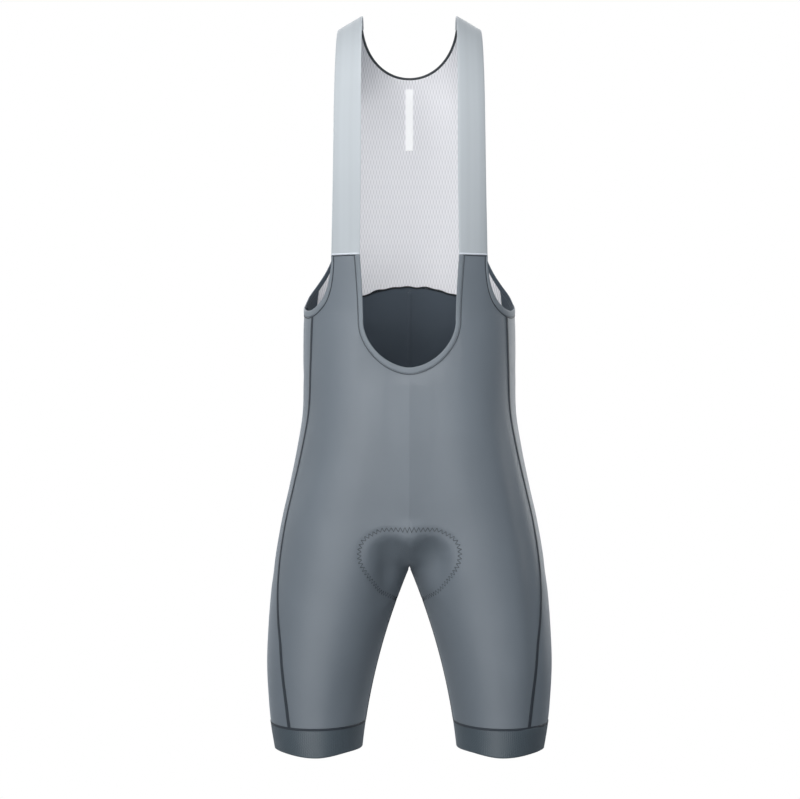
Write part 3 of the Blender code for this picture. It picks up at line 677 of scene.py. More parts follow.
# Soft troughs and ridges in the cloth: no two are alike, and those on hidden sides are like those
# that show
CREASES = (
    # side, from turn, from height, to turn, to height, width, out (below 0 is a trough)
    (1, 0.42, -0.632, 0.45, -0.702, 0.0165, -0.0072),
    (-1, 0.34, -0.632, 0.40, -0.714, 0.0190, -0.0064),
    (1, 0.66, -0.640, 0.58, -0.700, 0.0140, -0.0018),
    (-1, 0.55, -0.672, 0.30, -0.712, 0.0110, -0.0030),
    (1, 0.10, -0.688, 0.55, -0.735, 0.0090, -0.0007),
    (-1, 0.12, -0.691, 0.60, -0.724, 0.0100, -0.0008),
    (1, 1.53, -0.484, 1.47, -0.728, 0.0130, -0.0018),
    (1, 1.56, -0.642, 1.42, -0.905, 0.0120, -0.0032),
    (-1, 1.46, -0.500, 1.60, -0.610, 0.0150, -0.0010),
    (1, 0.90, -0.500, 1.02, -0.610, 0.0200, 0.0010),
    (-1, 0.80, -0.520, 0.98, -0.640, 0.0220, 0.0012),
    (1, 1.05, -0.770, 1.18, -0.862, 0.0150, -0.0006),
    (-1, 0.62, -0.790, 0.74, -0.866, 0.0140, -0.0007),
    (1, 3.20, -0.688, 3.86, -0.700, 0.0110, -0.0022),
    (-1, 3.28, -0.692, 3.88, -0.698, 0.0120, -0.0020),
    (1, 2.66, -0.664, 3.10, -0.684, 0.0100, -0.0010),
    (-1, 2.76, -0.672, 3.14, -0.690, 0.0090, -0.0009),
    (1, 3.05, -0.724, 3.52, -0.744, 0.0120, -0.0011),
    (-1, 3.16, -0.716, 3.60, -0.741, 0.0100, -0.0012),
    (1, 3.10, -0.430, 3.90, -0.438, 0.0130, -0.0013),
    (-1, 3.22, -0.436, 3.92, -0.441, 0.0140, -0.0012),
    (1, 2.55, -0.402, 3.12, -0.412, 0.0110, -0.0009),
    (-1, 2.60, -0.410, 3.05, -0.402, 0.0120, -0.0010),
    (1, 1.92, -0.430, 2.30, -0.444, 0.0120, -0.0009),
    (-1, 1.86, -0.442, 2.24, -0.436, 0.0110, -0.0008),
    (1, 1.80, -0.690, 2.20, -0.676, 0.0130, -0.0007),
    (-1, 1.84, -0.684, 2.26, -0.698, 0.0120, -0.0006),
    (1, 3.52, -0.800, 3.74, -0.868, 0.0140, -0.0008),
    (-1, 3.40, -0.786, 3.66, -0.864, 0.0150, -0.0007),
    (1, 2.72, -0.372, 2.98, -0.392, 0.0090, -0.0006),
    (-1, 2.70, -0.368, 3.02, -0.385, 0.0100, -0.0007),
)
CREASE_RUNS_ON = 0.2
CREST_RISE = 0.0030
CREST_REACH = 0.050
CREST_BOTTOM, CREST_BOTTOM_FADES = -0.640, 0.040
CREST_TOP, CREST_TOP_FADES = -0.436, 0.020
GUSSET_RISE = 0.0078
GUSSET_REACH = 0.0165
GUSSET_BOTTOM_FADES = 0.020
GUSSET_TOP, GUSSET_TOP_FADES = -0.645, 0.035
PAD_HEIGHTS = (-0.76, -0.52)
PAD_BULGE = 0.0012
PAD_BULGE_SLOPE = 0.012
STITCH_SINKS = 0.0006
STITCH_FURROW = 0.0022
STITCH_FAINT = 0.35
STITCH_FADES = 0.075
OUTLINE_STEP = 0.002
OUTLINE_END_SAMPLES = 60
OUTLINE_SIDE_SAMPLES = 900


def signed_pad():
    """The pad's table with its edge's turn below 0 on the front, above 0 on the back."""
    return [(row, side * edge_turn, centre_height, edge_height)
            for row, side, centre_height, edge_turn, edge_height in PAD]


def pad_place(row, share):
    """(turn, height) at a row of the pad's table: share 0 is its centre line, 1 its edge."""
    table = signed_pad()
    signed = read_table(table, 1, row) * share
    turn = np.where(np.asarray(row) <= PAD_CROTCH_ROW, -signed, 4 - signed)
    return np.clip(turn, 0.0, 4.0), mix(read_table(table, 2, row), read_table(table, 3, row), share)


def wrapped(turn):
    """Turns from 0 to 4 of places whose turns are below 0 behind the inseam, the last at 4."""
    turn = np.where(turn < 0, turn + 4, turn)
    turn[-1] = 4.0
    return turn


def pad_outline(step):
    """The pad's edge, from the centre front round the thigh to the centre back, evenly spaced."""
    fine = np.linspace(0, 1, OUTLINE_END_SAMPLES)
    side = np.linspace(0, PAD_LAST_ROW, OUTLINE_SIDE_SAMPLES)[1:]
    rows = np.concatenate([0 * fine, side, 0 * fine[1:] + PAD_LAST_ROW])
    shares = np.concatenate([fine, np.ones(len(side)), fine[::-1][1:]])
    turn, height = pad_place(rows, shares)
    unwrapped = np.where(turn > 2, turn - 4, turn)
    turn, height = respaced(skin(turn, height), [unwrapped, height], step=step)
    return wrapped(turn), height


def tangents(points, closed=False):
    if closed:
        return unit(np.roll(points, -1, 0) - np.roll(points, 1, 0))
    return unit(np.gradient(points, axis=0))


OUTLINE_TURN, OUTLINE_HEIGHT = pad_outline(OUTLINE_STEP)
OUTLINE = skin(OUTLINE_TURN, OUTLINE_HEIGHT)


def inside_outline(turn, height):
    """Whether these places of the +X half lie inside the pad's edge."""
    from_centre = np.where(turn > 2, 4 - turn, turn)
    edge = np.where(OUTLINE_TURN > 2, 4 - OUTLINE_TURN, OUTLINE_TURN)
    inside = np.zeros(turn.shape, bool)
    for behind in (False, True):
        part = (OUTLINE_TURN > 2) == behind
        x, z = np.pad(edge[part], 1), np.pad(OUTLINE_HEIGHT[part], 1, mode="edge")
        next_x, next_z = np.roll(x, -1), np.roll(z, -1)
        spans = (z > height[:, None]) != (next_z > height[:, None])
        run = np.where(next_z == z, 1.0, next_z - z)
        meets = x + (height[:, None] - z) / run * (next_x - x)
        crossed = (spans & (from_centre[:, None] < meets)).sum(1)
        inside |= ((turn > 2) == behind) & (crossed % 2 == 1)
    return inside


def stitch_share(y):
    """How strongly the pad's stitches show: less where the cloth is taut between the legs."""
    return mix(STITCH_FAINT, 1.0, ease(np.abs(y) / STITCH_FADES))


def relief(turn, height, points, side):
    """How far this side's cloth stands off the plain form, at these places of the +X half."""
    flat = points.reshape(-1, 3)
    turn, height = (np.broadcast_to(part, points.shape[:-1]).ravel() for part in (turn, height))
    out = np.zeros(len(flat))
    for on, first_turn, first_height, last_turn, last_height, width, rise in CREASES:
        if on != side:
            continue
        start, end = skin(first_turn, first_height), skin(last_turn, last_height)
        line = end - start
        share = ((flat - start) @ line) / (line @ line)
        apart = np.linalg.norm(flat - start - np.clip(share, 0, 1)[:, None] * line, axis=1)
        off_middle = np.abs(np.clip(share, -CREASE_RUNS_ON, 1 + CREASE_RUNS_ON) - 0.5)
        fade = ease(1 - off_middle / (0.5 + CREASE_RUNS_ON))
        out += rise * fade * np.exp(-((apart / width) ** 2))
    front, x, z = turn <= 2, flat[:, 0], flat[:, 2]
    roof = np.maximum(1 - x / CREST_REACH, 0.0) ** 2
    bottom = ease((z - CREST_BOTTOM) / CREST_BOTTOM_FADES)
    out += front * CREST_RISE * roof * bottom * ease((CREST_TOP - z) / CREST_TOP_FADES)
    gusset = ease((z - CROTCH) / GUSSET_BOTTOM_FADES)
    gusset *= 1 - ease((z - GUSSET_TOP) / GUSSET_TOP_FADES)
    out += front * GUSSET_RISE * gusset * np.exp(-((x / GUSSET_REACH) ** 2))
    near = np.flatnonzero((z > PAD_HEIGHTS[0]) & (z < PAD_HEIGHTS[1]))
    if len(near):
        away = np.linalg.norm(flat[near, None, :] - OUTLINE[None], axis=2).min(1)
        part = flat[near]
        above = np.maximum(part[:, 2] - CROTCH, 0.0)
        inseam = np.linalg.norm([part[:, 0] - inner_leg(part[:, 2]), part[:, 1], above], axis=0)
        full = ease(away / PAD_BULGE_SLOPE) * ease(inseam / PAD_BULGE_SLOPE / 2)
        out[near] += PAD_BULGE * full * inside_outline(turn[near], height[near])
        furrow = np.exp(-((away / STITCH_FURROW) ** 2))
        out[near] -= STITCH_SINKS * stitch_share(part[:, 1]) * furrow
    return out.reshape(points.shape[:-1])


def flip(vectors, side):
    return vectors * np.array([side, 1.0, 1.0])


def dressed(turn, height, side, raise_by=0.0):
    """Points and normals of the creased cloth at these places, on this side."""
    points, normals = skin(turn, height), skin_normal(turn, height)
    points = points + normals * (relief(turn, height, points, side) + raise_by)[..., None]
    return flip(points, side), flip(normals, side)


def across_both(make):
    """A row's points and normals from the +X edge to the centre, and on to the -X edge."""
    joined = [np.concatenate([a, b[..., -2::-1, :]], axis=-2) for a, b in zip(make(1), make(-1))]
    for part in joined:
        part[..., part.shape[-2] // 2, 0] = 0.0
    return joined[0], unit(joined[1])


def both_dressed(turn, height, raise_by=0.0):
    """The creased cloth's points and normals at these places, from the +X edge to the -X edge."""
    return across_both(lambda side: dressed(turn, height, side, raise_by))


# Materials

COOL_SHEEN = (0.85, 0.92, 1.0)
WHITE = (1.0, 1.0, 1.0, 1.0)
KNIT_WALE = 0.0009
KNIT_COURSE = 0.0007
MESH_PITCH = 0.0039
MESH_ROW = 0.0130
MESH_COURSE = 0.0010
GRIPPER_DOT = 0.0036
STRAP_RIB = 0.0013
STRAP_SWAY = 0.31
STRAP_BANDS = (0.0230, 0.0087)
THREAD_TWIST = 0.0009


def put(node, values):
    """Sets these inputs of a shader node."""
    for name, value in values.items():
        node.inputs[name].default_value = value


class Look:
    """A Principled fabric with a procedural height and tone, whose nodes are added one by one."""

    def __init__(self, name, colour, roughness, sheen=0.0, sheen_tint=(1.0, 1.0, 1.0), gloss=0.35):
        self.material = bpy.data.materials.new(name)
        self.material.use_nodes = True
        self.tree = self.material.node_tree
        self.shader = self.tree.nodes["Principled BSDF"]
        self.colour = colour
        put(self.shader, {
            "Base Color": (*colour, 1.0), "Roughness": roughness, "Specular IOR Level": gloss,
            "Sheen Weight": sheen, "Sheen Roughness": 0.45, "Sheen Tint": (*sheen_tint, 1.0)})

    def node(self, kind, **settings):
        node = self.tree.nodes.new(kind)
        for name, value in settings.items():
            setattr(node, name, value)
        return node

    def join(self, source, target):
        self.tree.links.new(source, target)

    def math(self, operation, *values):
        node = self.node("ShaderNodeMath", operation=operation)
        for socket, value in zip(node.inputs, values):
            if isinstance(value, (int, float)):
                socket.default_value = value
            else:
                self.join(value, socket)
        return node.outputs[0]

    def plus(self, a, b):
        return self.math("ADD", a, b)

    def times(self, a, b):
        return self.math("MULTIPLY", a, b)

    def cloth(self):
        """Metres across and along the cloth."""
        place = self.node("ShaderNodeUVMap", uv_map="cloth")
        split = self.node("ShaderNodeSeparateXYZ")
        self.join(place.outputs[0], split.inputs[0])
        return split.outputs[0], split.outputs[1]

    def wave(self, along, length):
        return self.math("COSINE", self.times(along, 2 * math.pi / length))

    def slow(self, scale, weight):
        """Slow uneven noise."""
        where = self.node("ShaderNodeTexCoord")
        noise = self.node("ShaderNodeTexNoise")
        put(noise, {"Scale": scale, "Detail": 3.0})
        self.join(where.outputs["Object"], noise.inputs["Vector"])
        return self.times(noise.outputs[0], weight)

    def tone(self, height, low, high, dark, light):
        """The base colour, times dark where height is low and times light where it is high."""
        ramp = self.node("ShaderNodeMapRange", clamp=True)
        put(ramp, {"From Min": low, "From Max": high, "To Min": dark, "To Max": light})
        self.join(height, ramp.inputs["Value"])
        scaled = self.node("ShaderNodeVectorMath", operation="SCALE")
        scaled.inputs[0].default_value = self.colour
        self.join(ramp.outputs[0], scaled.inputs["Scale"])
        self.join(scaled.outputs[0], self.shader.inputs["Base Color"])

    def bump(self, height, strength, distance):
        bump = self.node("ShaderNodeBump")
        put(bump, {"Strength": strength, "Distance": distance})
        self.join(height, bump.inputs["Height"])
        self.join(bump.outputs[0], self.shader.inputs["Normal"])


def knit_look(name, colour, roughness, sheen, wale=KNIT_WALE, variation=0.05, deep=0.4, gloss=0.35):
    """Fine warp knit: columns of stitches with small courses across them, and slow uneven tone."""
    look = Look(name, colour, roughness, sheen, COOL_SHEEN, gloss)
    across, along = look.cloth()
    stitch = look.plus(look.wave(across, wale), look.times(look.wave(along, KNIT_COURSE), 0.6))
    look.bump(stitch, strength=deep, distance=0.00008)
    tone = look.plus(look.times(stitch, 0.10), look.slow(scale=9.0, weight=3.0))
    look.tone(tone, low=0.9, high=2.1, dark=1 - variation, light=1 + variation)
    return look.material


def mesh_look():
    """Staggered upright lozenges of open knit, light where the yarn stands up."""
    look = Look("mesh_knit", (0.915, 0.907, 0.937), 0.8, 0.15)
    across, along = look.cloth()
    lozenge = look.times(look.wave(across, MESH_PITCH), look.wave(along, MESH_ROW))
    fine = look.times(look.wave(along, MESH_COURSE), 0.12)
    look.bump(look.plus(lozenge, fine), strength=0.5, distance=0.0002)
    look.tone(lozenge, low=-0.75, high=0.75, dark=0.84, light=1.06)
    return look.material


def rib_look(name, colour, roughness, sheen, pitch, dark):
    """Elastic with fine ribs along it."""
    look = Look(name, colour, roughness, sheen)
    across, along = look.cloth()
    courses = look.times(look.wave(along, pitch * 0.8), 0.4)
    ribs = look.plus(look.wave(across, pitch), courses)
    look.bump(ribs, strength=0.5, distance=0.0001)
    tone = look.plus(look.times(ribs, 0.3), look.slow(scale=14.0, weight=2.0))
    look.tone(tone, low=0.5, high=1.5, dark=dark, light=2 - dark)
    return look.material


def gripper_look():
    """Dense elastic whose face is small staggered dots."""
    look = Look("gripper_elastic", (0.074, 0.098, 0.117), 0.45, 0.25, COOL_SHEEN, gloss=0.85)
    across, along = look.cloth()
    dots = look.times(look.wave(across, GRIPPER_DOT), look.wave(along, GRIPPER_DOT))
    ribs = look.times(look.wave(across, GRIPPER_DOT / 4), 0.2)
    look.bump(look.plus(dots, ribs), strength=0.6, distance=0.0001)
    tone = look.plus(dots, look.slow(scale=14.0, weight=1.5))
    look.tone(tone, low=-0.1, high=1.6, dark=0.84, light=1.16)
    return look.material


def strap_look():
    """Smooth bonded elastic: very fine ribs, and soft bands of tone along its length."""
    look = Look("strap_elastic", (0.550, 0.588, 0.616), 0.55, 0.20)
    across, along = look.cloth()
    look.bump(look.wave(across, STRAP_RIB), strength=0.25, distance=0.00005)
    drift = look.plus(across, look.times(look.wave(along, STRAP_SWAY), 0.0012))
    broad, narrow = (look.wave(drift, band) for band in STRAP_BANDS)
    bands = look.plus(broad, look.times(narrow, 0.5))
    tone = look.plus(bands, look.slow(scale=6.0, weight=2.0))
    look.tone(tone, low=-0.5, high=2.5, dark=0.975, light=1.025)
    return look.material


def thread_look(name, colour):
    """Twisted thread."""
    look = Look(name, colour, 0.6, 0.1)
    across, along = look.cloth()
    twist = look.wave(look.plus(along, look.times(across, 0.6)), THREAD_TWIST)
    look.bump(twist, strength=0.6, distance=0.0001)
    look.tone(twist, low=-1.0, high=1.0, dark=0.8, light=1.15)
    return look.material


FRONT_CLOTH = knit_look("front_lycra_knit", (0.176, 0.205, 0.236), 0.50, 0.20, gloss=1.0)
SIDE_CLOTH = knit_look("side_lycra_knit", (0.172, 0.202, 0.235), 0.50, 0.30, gloss=1.0)
SEAT_CLOTH = knit_look("seat_lycra_knit", (0.172, 0.202, 0.235), 0.50, 0.20, gloss=1.0)
# The cloth's inner face: darker than the outer knit, partly the inside's own colour and partly
# painted shade of the hollow inside the garment
INSIDE_AND_SHADE_CLOTH = knit_look("lycra_inside_and_shade", (0.062, 0.080, 0.103), 0.70, 0.25, deep=0.5)
MESH_CLOTH = mesh_look()
STRAP_CLOTH = strap_look()
GRIPPER_CLOTH = gripper_look()
BINDING_CLOTH = knit_look("binding_knit", (0.225, 0.255, 0.285), 0.58, 0.30, wale=0.0008)
NECK_CLOTH = rib_look("neck_binding_knit", (0.060, 0.068, 0.076), 0.65, 0.10, 0.0012, 0.85)
SEAM_CLOTH = thread_look("seam_tape", (0.043, 0.053, 0.066))
OVERLOCK_CLOTH = thread_look("overlock_thread", (0.016, 0.020, 0.025))
# Thread darker than the cloth: partly its own colour, partly painted shade of the needle holes it
# runs through
THREAD_AND_SHADE_CLOTH = thread_look("pad_thread", (0.090, 0.105, 0.121))
BOND_CLOTH = rib_look("bonded_line", (0.78, 0.82, 0.88), 0.45, 0.0, 0.0010, 0.98)
LABEL_CLOTH = rib_look("label_ribbon", (0.96, 0.96, 0.965), 0.70, 0.0, 0.0009, 0.97)
# The ribbon glows a little: painted light that keeps it white inside the shaded garment
put(LABEL_CLOTH.node_tree.nodes["Principled BSDF"],
    {"Emission Color": WHITE, "Emission Strength": 0.20})
PAD_CLOTH = knit_look("pad_fleece", (0.080, 0.090, 0.105), 0.85, 0.4, variation=0.10, deep=0.8)


# Panels

SIDES = ((1, "left"), (-1, "right"))
SHAPES = {"front": front_panel(), "side": side_panel(), "seat": seat_panel()}
PANEL_LOOKS = {"front": FRONT_CLOTH, "side": SIDE_CLOTH, "seat": SEAT_CLOTH}
for part, (turn, height, there) in SHAPES.items():
    for side, side_name in SIDES:
        spots = dressed(turn, height, side)
        uv = cloth_uv(spots[0])
        if part == "front":
            # Its knit runs from the side seam, so that no row of it jumps above the crotch
            uv[..., 0] -= uv[:, -1:, 0]
        wall(
            f"{part}_{side_name}_cloth", f"{part}_{side_name}", spots,
            [PANEL_LOOKS[part], INSIDE_AND_SHADE_CLOTH], WALL, uv, there=there, roll=PANEL_ROLL)

MESH_LIFT = 0.00008
MESH_LEVEL_STEPS = 16


def level_lengths(turn, height):
    """How far these places lie from the centre back, round the cloth at their own heights."""
    ring = skin(mix(4.0, turn[None], stops(MESH_LEVEL_STEPS)[:, None, None]), height[None])
    return np.linalg.norm(np.diff(ring, axis=0), axis=-1).sum(0)


def back_mesh():
    turn, height = mesh_panel()
    spots = both_dressed(turn, height)
    level = level_lengths(turn, height)
    across, along = np.concatenate([level, -level[:, -2::-1]], axis=1), spots[0][..., 2]
    lozenge = np.cos(2 * np.pi * across / MESH_PITCH) * np.cos(2 * np.pi * along / MESH_ROW)
    return wall("back_mesh_cloth", "back_mesh", spots, [MESH_CLOTH], MESH_WALL,
                np.stack([across, along], -1), lift=(MESH_LIFT * lozenge, MESH_LIFT * lozenge))


mesh_cloth = back_mesh()

# Straps

STRAP_STEP = 0.01
STRAP_ROWS = (70, 60)
STRAP_COLUMNS = 18
STRAP_ROLL = 0.0004


def strap_spot(across, run):
    x = mix(read_table(STRAP_EDGES, 1, run), read_table(STRAP_EDGES, 2, run), across)
    foot = shoulder_height(x) - SHOULDER_ARCH
    angle = np.radians(90 * np.maximum(run - 1, 0.0))
    height = np.where(run <= 1, mix(STRAP_JOIN, foot, run), foot + SHOULDER_ARCH * np.sin(angle))
    arch = np.cos(angle)
    side, centre = read_table(FIGURE, 1, height), leg_centre(height)
    shape = (1 - np.abs((x - centre) / (side - centre)) ** ROUNDNESS) ** (1 / ROUNDNESS)
    depth = np.where(arch > 0, read_table(FIGURE, 2, height), read_table(FIGURE, 3, height))
    return np.stack([x, -shape * arch * depth, height], -1)


def strap_grid():
    """The strap's points and normals, from the join over the shoulder to the mesh."""
    front, over = STRAP_ROWS
    run = np.append(stops(front), stops(over, 1, 3 - STRAP_BACK_ANGLE / 90)[1:])[:, None]
    share = stops(STRAP_COLUMNS)[None]
    points = strap_spot(share + 0 * run, run + 0 * share)
    along = strap_spot(share + STRAP_STEP, run) - strap_spot(share - STRAP_STEP, run)
    before = np.maximum(run - STRAP_STEP, 0.0)
    up = strap_spot(share, run + STRAP_STEP) - strap_spot(share, before)
    return points, unit(np.cross(along, up))


straps = {side: wall(f"strap_{side_name}_elastic", f"strap_{side_name}",
                     [flip(part, side) for part in strap_grid()], [STRAP_CLOTH], STRAP_WALL,
                     roll=STRAP_ROLL) for side, side_name in SIDES}

# Gripper bands

GRIPPER_ROWS = 30
GRIPPER_COLUMNS = 640
GRIPPER_SAMPLES = 2000
GRIPPER_RIB = 0.00012
GRIPPER_STANDS = 0.0004
GRIPPER_ROLL = 0.0005
HEM_RISES = (
    # turn, how far the hem's edge lies above its lowest height
    (0.0, 0.0050),
    (0.5, 0.0048),
    (1.0, 0.0000),
    (1.5, 0.0036),
    (1.75, 0.0044),
    (2.0, 0.0030),
    (3.0, 0.0000),
    (4.0, 0.0050),
)
BAND_RISES = (
    # turn, how far the band's upper edge laps over the panels
    (0.0, 0.0050),
    (1.0, 0.0022),
    (2.0, 0.0036),
    (3.0, 0.0022),
    (4.0, 0.0050),
)


def band_top(turn):
    return GRIPPER_TOP + read_table(BAND_RISES, 1, turn)


def gripper_turns():
    """Turns spaced evenly round the leg."""
    turn = stops(GRIPPER_SAMPLES, 0, 4)
    points = skin(turn, np.full_like(turn, GRIPPER_TOP))
    return respaced(points, [turn], count=GRIPPER_COLUMNS)[0][:-1]


def gripper_ribs():
    """How far the band's upright ribs and staggered dots stand out, in a repeat of few cells."""
    row, column = np.arange(GRIPPER_ROWS + 1)[:, None], np.arange(GRIPPER_COLUMNS)[None]
    dots = np.cos(2 * np.pi * (row / 3 + column / 8))
    return GRIPPER_RIB * (np.cos(2 * np.pi * (column / 4)) + 0.5 * dots)


round_leg = gripper_turns()
gripper_height = mix(HEM + read_table(HEM_RISES, 1, round_leg), band_top(round_leg),
                     stops(GRIPPER_ROWS)[:, None])
gripper_turn = np.broadcast_to(round_leg, gripper_height.shape)
for side, side_name in SIDES:
    spots = [flip(make(gripper_turn, gripper_height), side) for make in (skin, skin_normal)]
    wall(f"gripper_{side_name}_band", f"gripper_{side_name}", spots,
                          [GRIPPER_CLOTH], GRIPPER_WALL, stands=GRIPPER_STANDS, closed=True,
                          roll=GRIPPER_ROLL, lift=(gripper_ribs(), 0.0))


# Bindings, tapes, stitches: a rounded section swept along the cloth


def rounded(count, power):
    """A closed flattened section: c across from -1 to 1, h out from -1 to 1."""
    angle = 2 * np.pi * (np.arange(count) + 0.5) / count
    c, h = np.cos(angle), np.sin(angle)
    return np.sign(c) * np.abs(c) ** (2 / power), np.sign(h) * np.abs(h) ** (2 / power)


Band = namedtuple("Band", "width section thick rises look")


def swept(name, spots, band, width=None, across=None, closed=False, ripple=None):
    """A closed band along a path of points and normals, with its section across the path."""
    points, normals = spots
    c, h = band.section
    if across is None:
        across = unit(np.cross(normals, tangents(points, closed)))
    half_width = np.broadcast_to(band.width if width is None else width, len(points))[:, None] / 2
    out = np.tile(band.rises + h * band.thick / 2, (len(points), 1))
    run = run_along(points)[:, None]
    if ripple is not None:
        out = out + (h > 0) * ripple(run, c)
    ring = points[:, None] + across[:, None] * (c * half_width)[..., None]
    ring = ring + normals[:, None] * out[..., None]
    rows, columns = ring.shape[:2]
    faces = grid_cells(rows, columns, closed, True)
    flat = ring.reshape(-1, 3)
    over = turned_over(flat, faces[0], flat[faces[0]].mean(0) - ring[0].mean(0))
    faces = (faces[:, ::-1] if over else faces).tolist()
    if not closed:
        ends = [list(range(columns)), list(range((rows - 1) * columns, rows * columns))]
        ends[over].reverse()
        faces += ends
    uv = np.stack(np.broadcast_arrays(c * half_width, run), -1).reshape(-1, 2)
    return add_mesh(name, flat, faces, [band.look], uv, BAND_SHARP)


FOLD = rounded(20, 3.2)
FLAT = rounded(14, 3.0)
ROUND = rounded(8, 2.0)
# Each band's width, section, thickness, how far its middle lies out, and look
TAPE = Band(0.0048, FLAT, 0.0007, 0.00028, SEAM_CLOTH)
GRIPPER_SEAM = Band(0.0032, FLAT, 0.0007, GRIPPER_STANDS - 0.0001, SEAM_CLOTH)
CENTRE_SEAM = Band(0.0045, FLAT, 0.0008, 0.0, INSIDE_AND_SHADE_CLOTH)
OVERLOCK = Band(0.0022, FLAT, 0.0009, 0.0, OVERLOCK_CLOTH)
BOND = Band(0.0018, FLAT, 0.0006, 0.00015, BOND_CLOTH)
# A thin dark line just under the strap's bond: a painted shadow of the bond's edge
BOND_SHADOW = Band(0.0011, ROUND, 0.0005, 0.00012, SEAM_CLOTH)
SEAM_LINE = Band(0.0013, ROUND, 0.0006, 0.00012, SEAM_CLOTH)
SCOOP_LINE = Band(0.0013, ROUND, 0.0006, 0.00012, THREAD_AND_SHADE_CLOTH)
PAD_THREAD = Band(0.0007, ROUND, 0.0007, 0.00015, THREAD_AND_SHADE_CLOTH)

BINDING_RISES = 0.0006
SCOOP_UPRIGHTS = 49
SCOOP_STATIONS = 70
NECK_STATIONS = 80
ARMHOLE_STATIONS = 380
LOOKS_INWARD = -0.2


def binding(name, node, slot, seam, edge, look, thickness):
    """A folded binding between its seam and its free edge, each as (points, normals)."""
    span = edge[0] - seam[0]
    width = np.linalg.norm(span, axis=1)
    band = Band(None, FOLD, thickness, BINDING_RISES - thickness / 2, look)
    piece = swept(name, ((edge[0] + seam[0]) / 2, unit(edge[1] + seam[1])), band,
                  width - 2 * SEAM_GAP, span / width[:, None])
    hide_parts(node)
    return piece


def scoop_spots(line):
    """Points and normals along the scoop's seam or edge."""
    straight = stops(SCOOP_UPRIGHTS, STRAP_JOIN, SCOOP_SHOULDER)[:-1]
    width, height = scoop_place(np.append(straight, scoop_heights(SCOOP_STATIONS)[::-1]), line)
    return both_dressed(turn_at("front", width, height), height)


def neck_spots(line):
    """Points and normals along the neck's seam or edge."""
    width, height = neck_place(stops(NECK_STATIONS, 1, 0), line)
    return both_dressed(turn_at("back", width, height), height)


def shade_inward_faces(piece, look):
    """Gives the piece's faces that look into the garment the dark inner look: painted shade of the
    garment's hollow.
    """
    faces = piece.data.polygons
    piece.data.materials.append(look)
    normals, centres = np.empty(len(faces) * 3), np.empty(len(faces) * 3)
    faces.foreach_get("normal", normals)
    faces.foreach_get("center", centres)
    away = unit(centres.reshape(-1, 3)[:, :2])
    inward = (normals.reshape(-1, 3)[:, :2] * away).sum(-1) < LOOKS_INWARD
    faces.foreach_set("material_index", inward.astype(np.int32))


scoop_spans = scoop_spots(SCOOP_SEAM), scoop_spots(SCOOP_EDGE)
scoop_trim = binding("scoop_binding_fold", "scoop_binding", "binding", *scoop_spans,
                     BINDING_CLOTH, BINDING_WALL)
neck_trim = binding("neck_binding_fold", "neck_binding", "neck_binding", neck_spots(NECK_SEAM),
                    neck_spots(NECK_EDGE), NECK_CLOTH, NECK_BINDING_WALL)
armhole_spans, armhole_trims = {}, {}
armhole_runs = stops(ARMHOLE_STATIONS, 0, CURVE_SAMPLES)
for side, side_name in SIDES:
    armhole_spans[side] = [dressed(*along_curve(curve, armhole_runs), side)
                           for curve in (armhole_seam, armhole_edge)]
    armhole_trims[side] = binding(f"armhole_binding_{side_name}_fold",
                                  f"armhole_binding_{side_name}", "binding",
                                  *armhole_spans[side], BINDING_CLOTH, BINDING_WALL)
    shade_inward_faces(armhole_trims[side], INSIDE_AND_SHADE_CLOTH)

TAPE_STITCH = 0.0022
TAPE_RIDGE = 0.00012
# In half widths of the tape
TAPE_ROWS_LIE = 0.62
TAPE_ROWS_WIDE = 0.16
TAPE_CROSS_WIDE = 0.55
TAPE_STEP = 0.00055
TAPE_STARTS = 0.001
TAPE_STOPS = 0.0012
INSEAM_STOPS = 0.004
SEAM_SAMPLES = 400
MESH_SEAM_STARTS = 0.012


def inseam(height):
    return 0 * height


def cover_stitch(run, c):
    """Two rows of raised stitches with cross threads between them."""
    rows = np.exp(-(((np.abs(c) - TAPE_ROWS_LIE) / TAPE_ROWS_WIDE) ** 2))
    rows = rows * (0.6 + 0.4 * np.cos(2 * np.pi * run / TAPE_STITCH))
    cross = 0.7 * np.exp(-((c / TAPE_CROSS_WIDE) ** 4))
    cross = cross * np.cos(2 * np.pi * (run / TAPE_STITCH + 0.5 * c))
    return TAPE_RIDGE * (rows * 1.6 + cross)


SEAMS = (
    # name, the panel it is sewn with, slot, turns, top
    ("front_side", "front", "side_lycra", front_seam, FRONT_CORNER_HEIGHT - TAPE_STOPS),
    ("side_back", "side", "side_lycra", back_seam, BACK_CORNER_HEIGHT - TAPE_STOPS),
    ("inseam", "seat", "seat_lycra", inseam, CROTCH - INSEAM_STOPS),
)
trims = defaultdict(list)
for side, side_name in SIDES:
    for name, part, slot, seam, top in SEAMS:
        height = np.linspace(band_top(seam(GRIPPER_TOP)) + TAPE_STARTS, top, SEAM_SAMPLES)
        turn = seam(height)
        turn, height = respaced(skin(turn, height), [turn, height], step=TAPE_STEP)
        trims[part, side].append(swept(f"{name}_tape_{side_name}",
                                       dressed(turn, height, side), TAPE, ripple=cover_stitch))

LINE_OFFSET = 0.0010


def seam_line(name, slot, seam, edge, band):
    """A thin dark row of stitches on the panel, just beside a binding's seam."""
    points = seam[0] + unit(seam[0] - edge[0]) * LINE_OFFSET
    return swept(name, (points, seam[1]), band)


scoop_line = seam_line("scoop_seam_line", "front_lycra", *scoop_spans, SCOOP_LINE)
armhole_lines = {side: seam_line(f"armhole_seam_line_{side_name}", "side_lycra",
                                 *armhole_spans[side], SEAM_LINE) for side, side_name in SIDES}

GRIPPER_SEAM_UP = 0.0004
for side, side_name in SIDES:
    spots = dressed(round_leg, band_top(round_leg) + GRIPPER_SEAM_UP, side)
    trims["gripper", side].append(
        swept(f"gripper_seam_{side_name}", spots, GRIPPER_SEAM, closed=True))

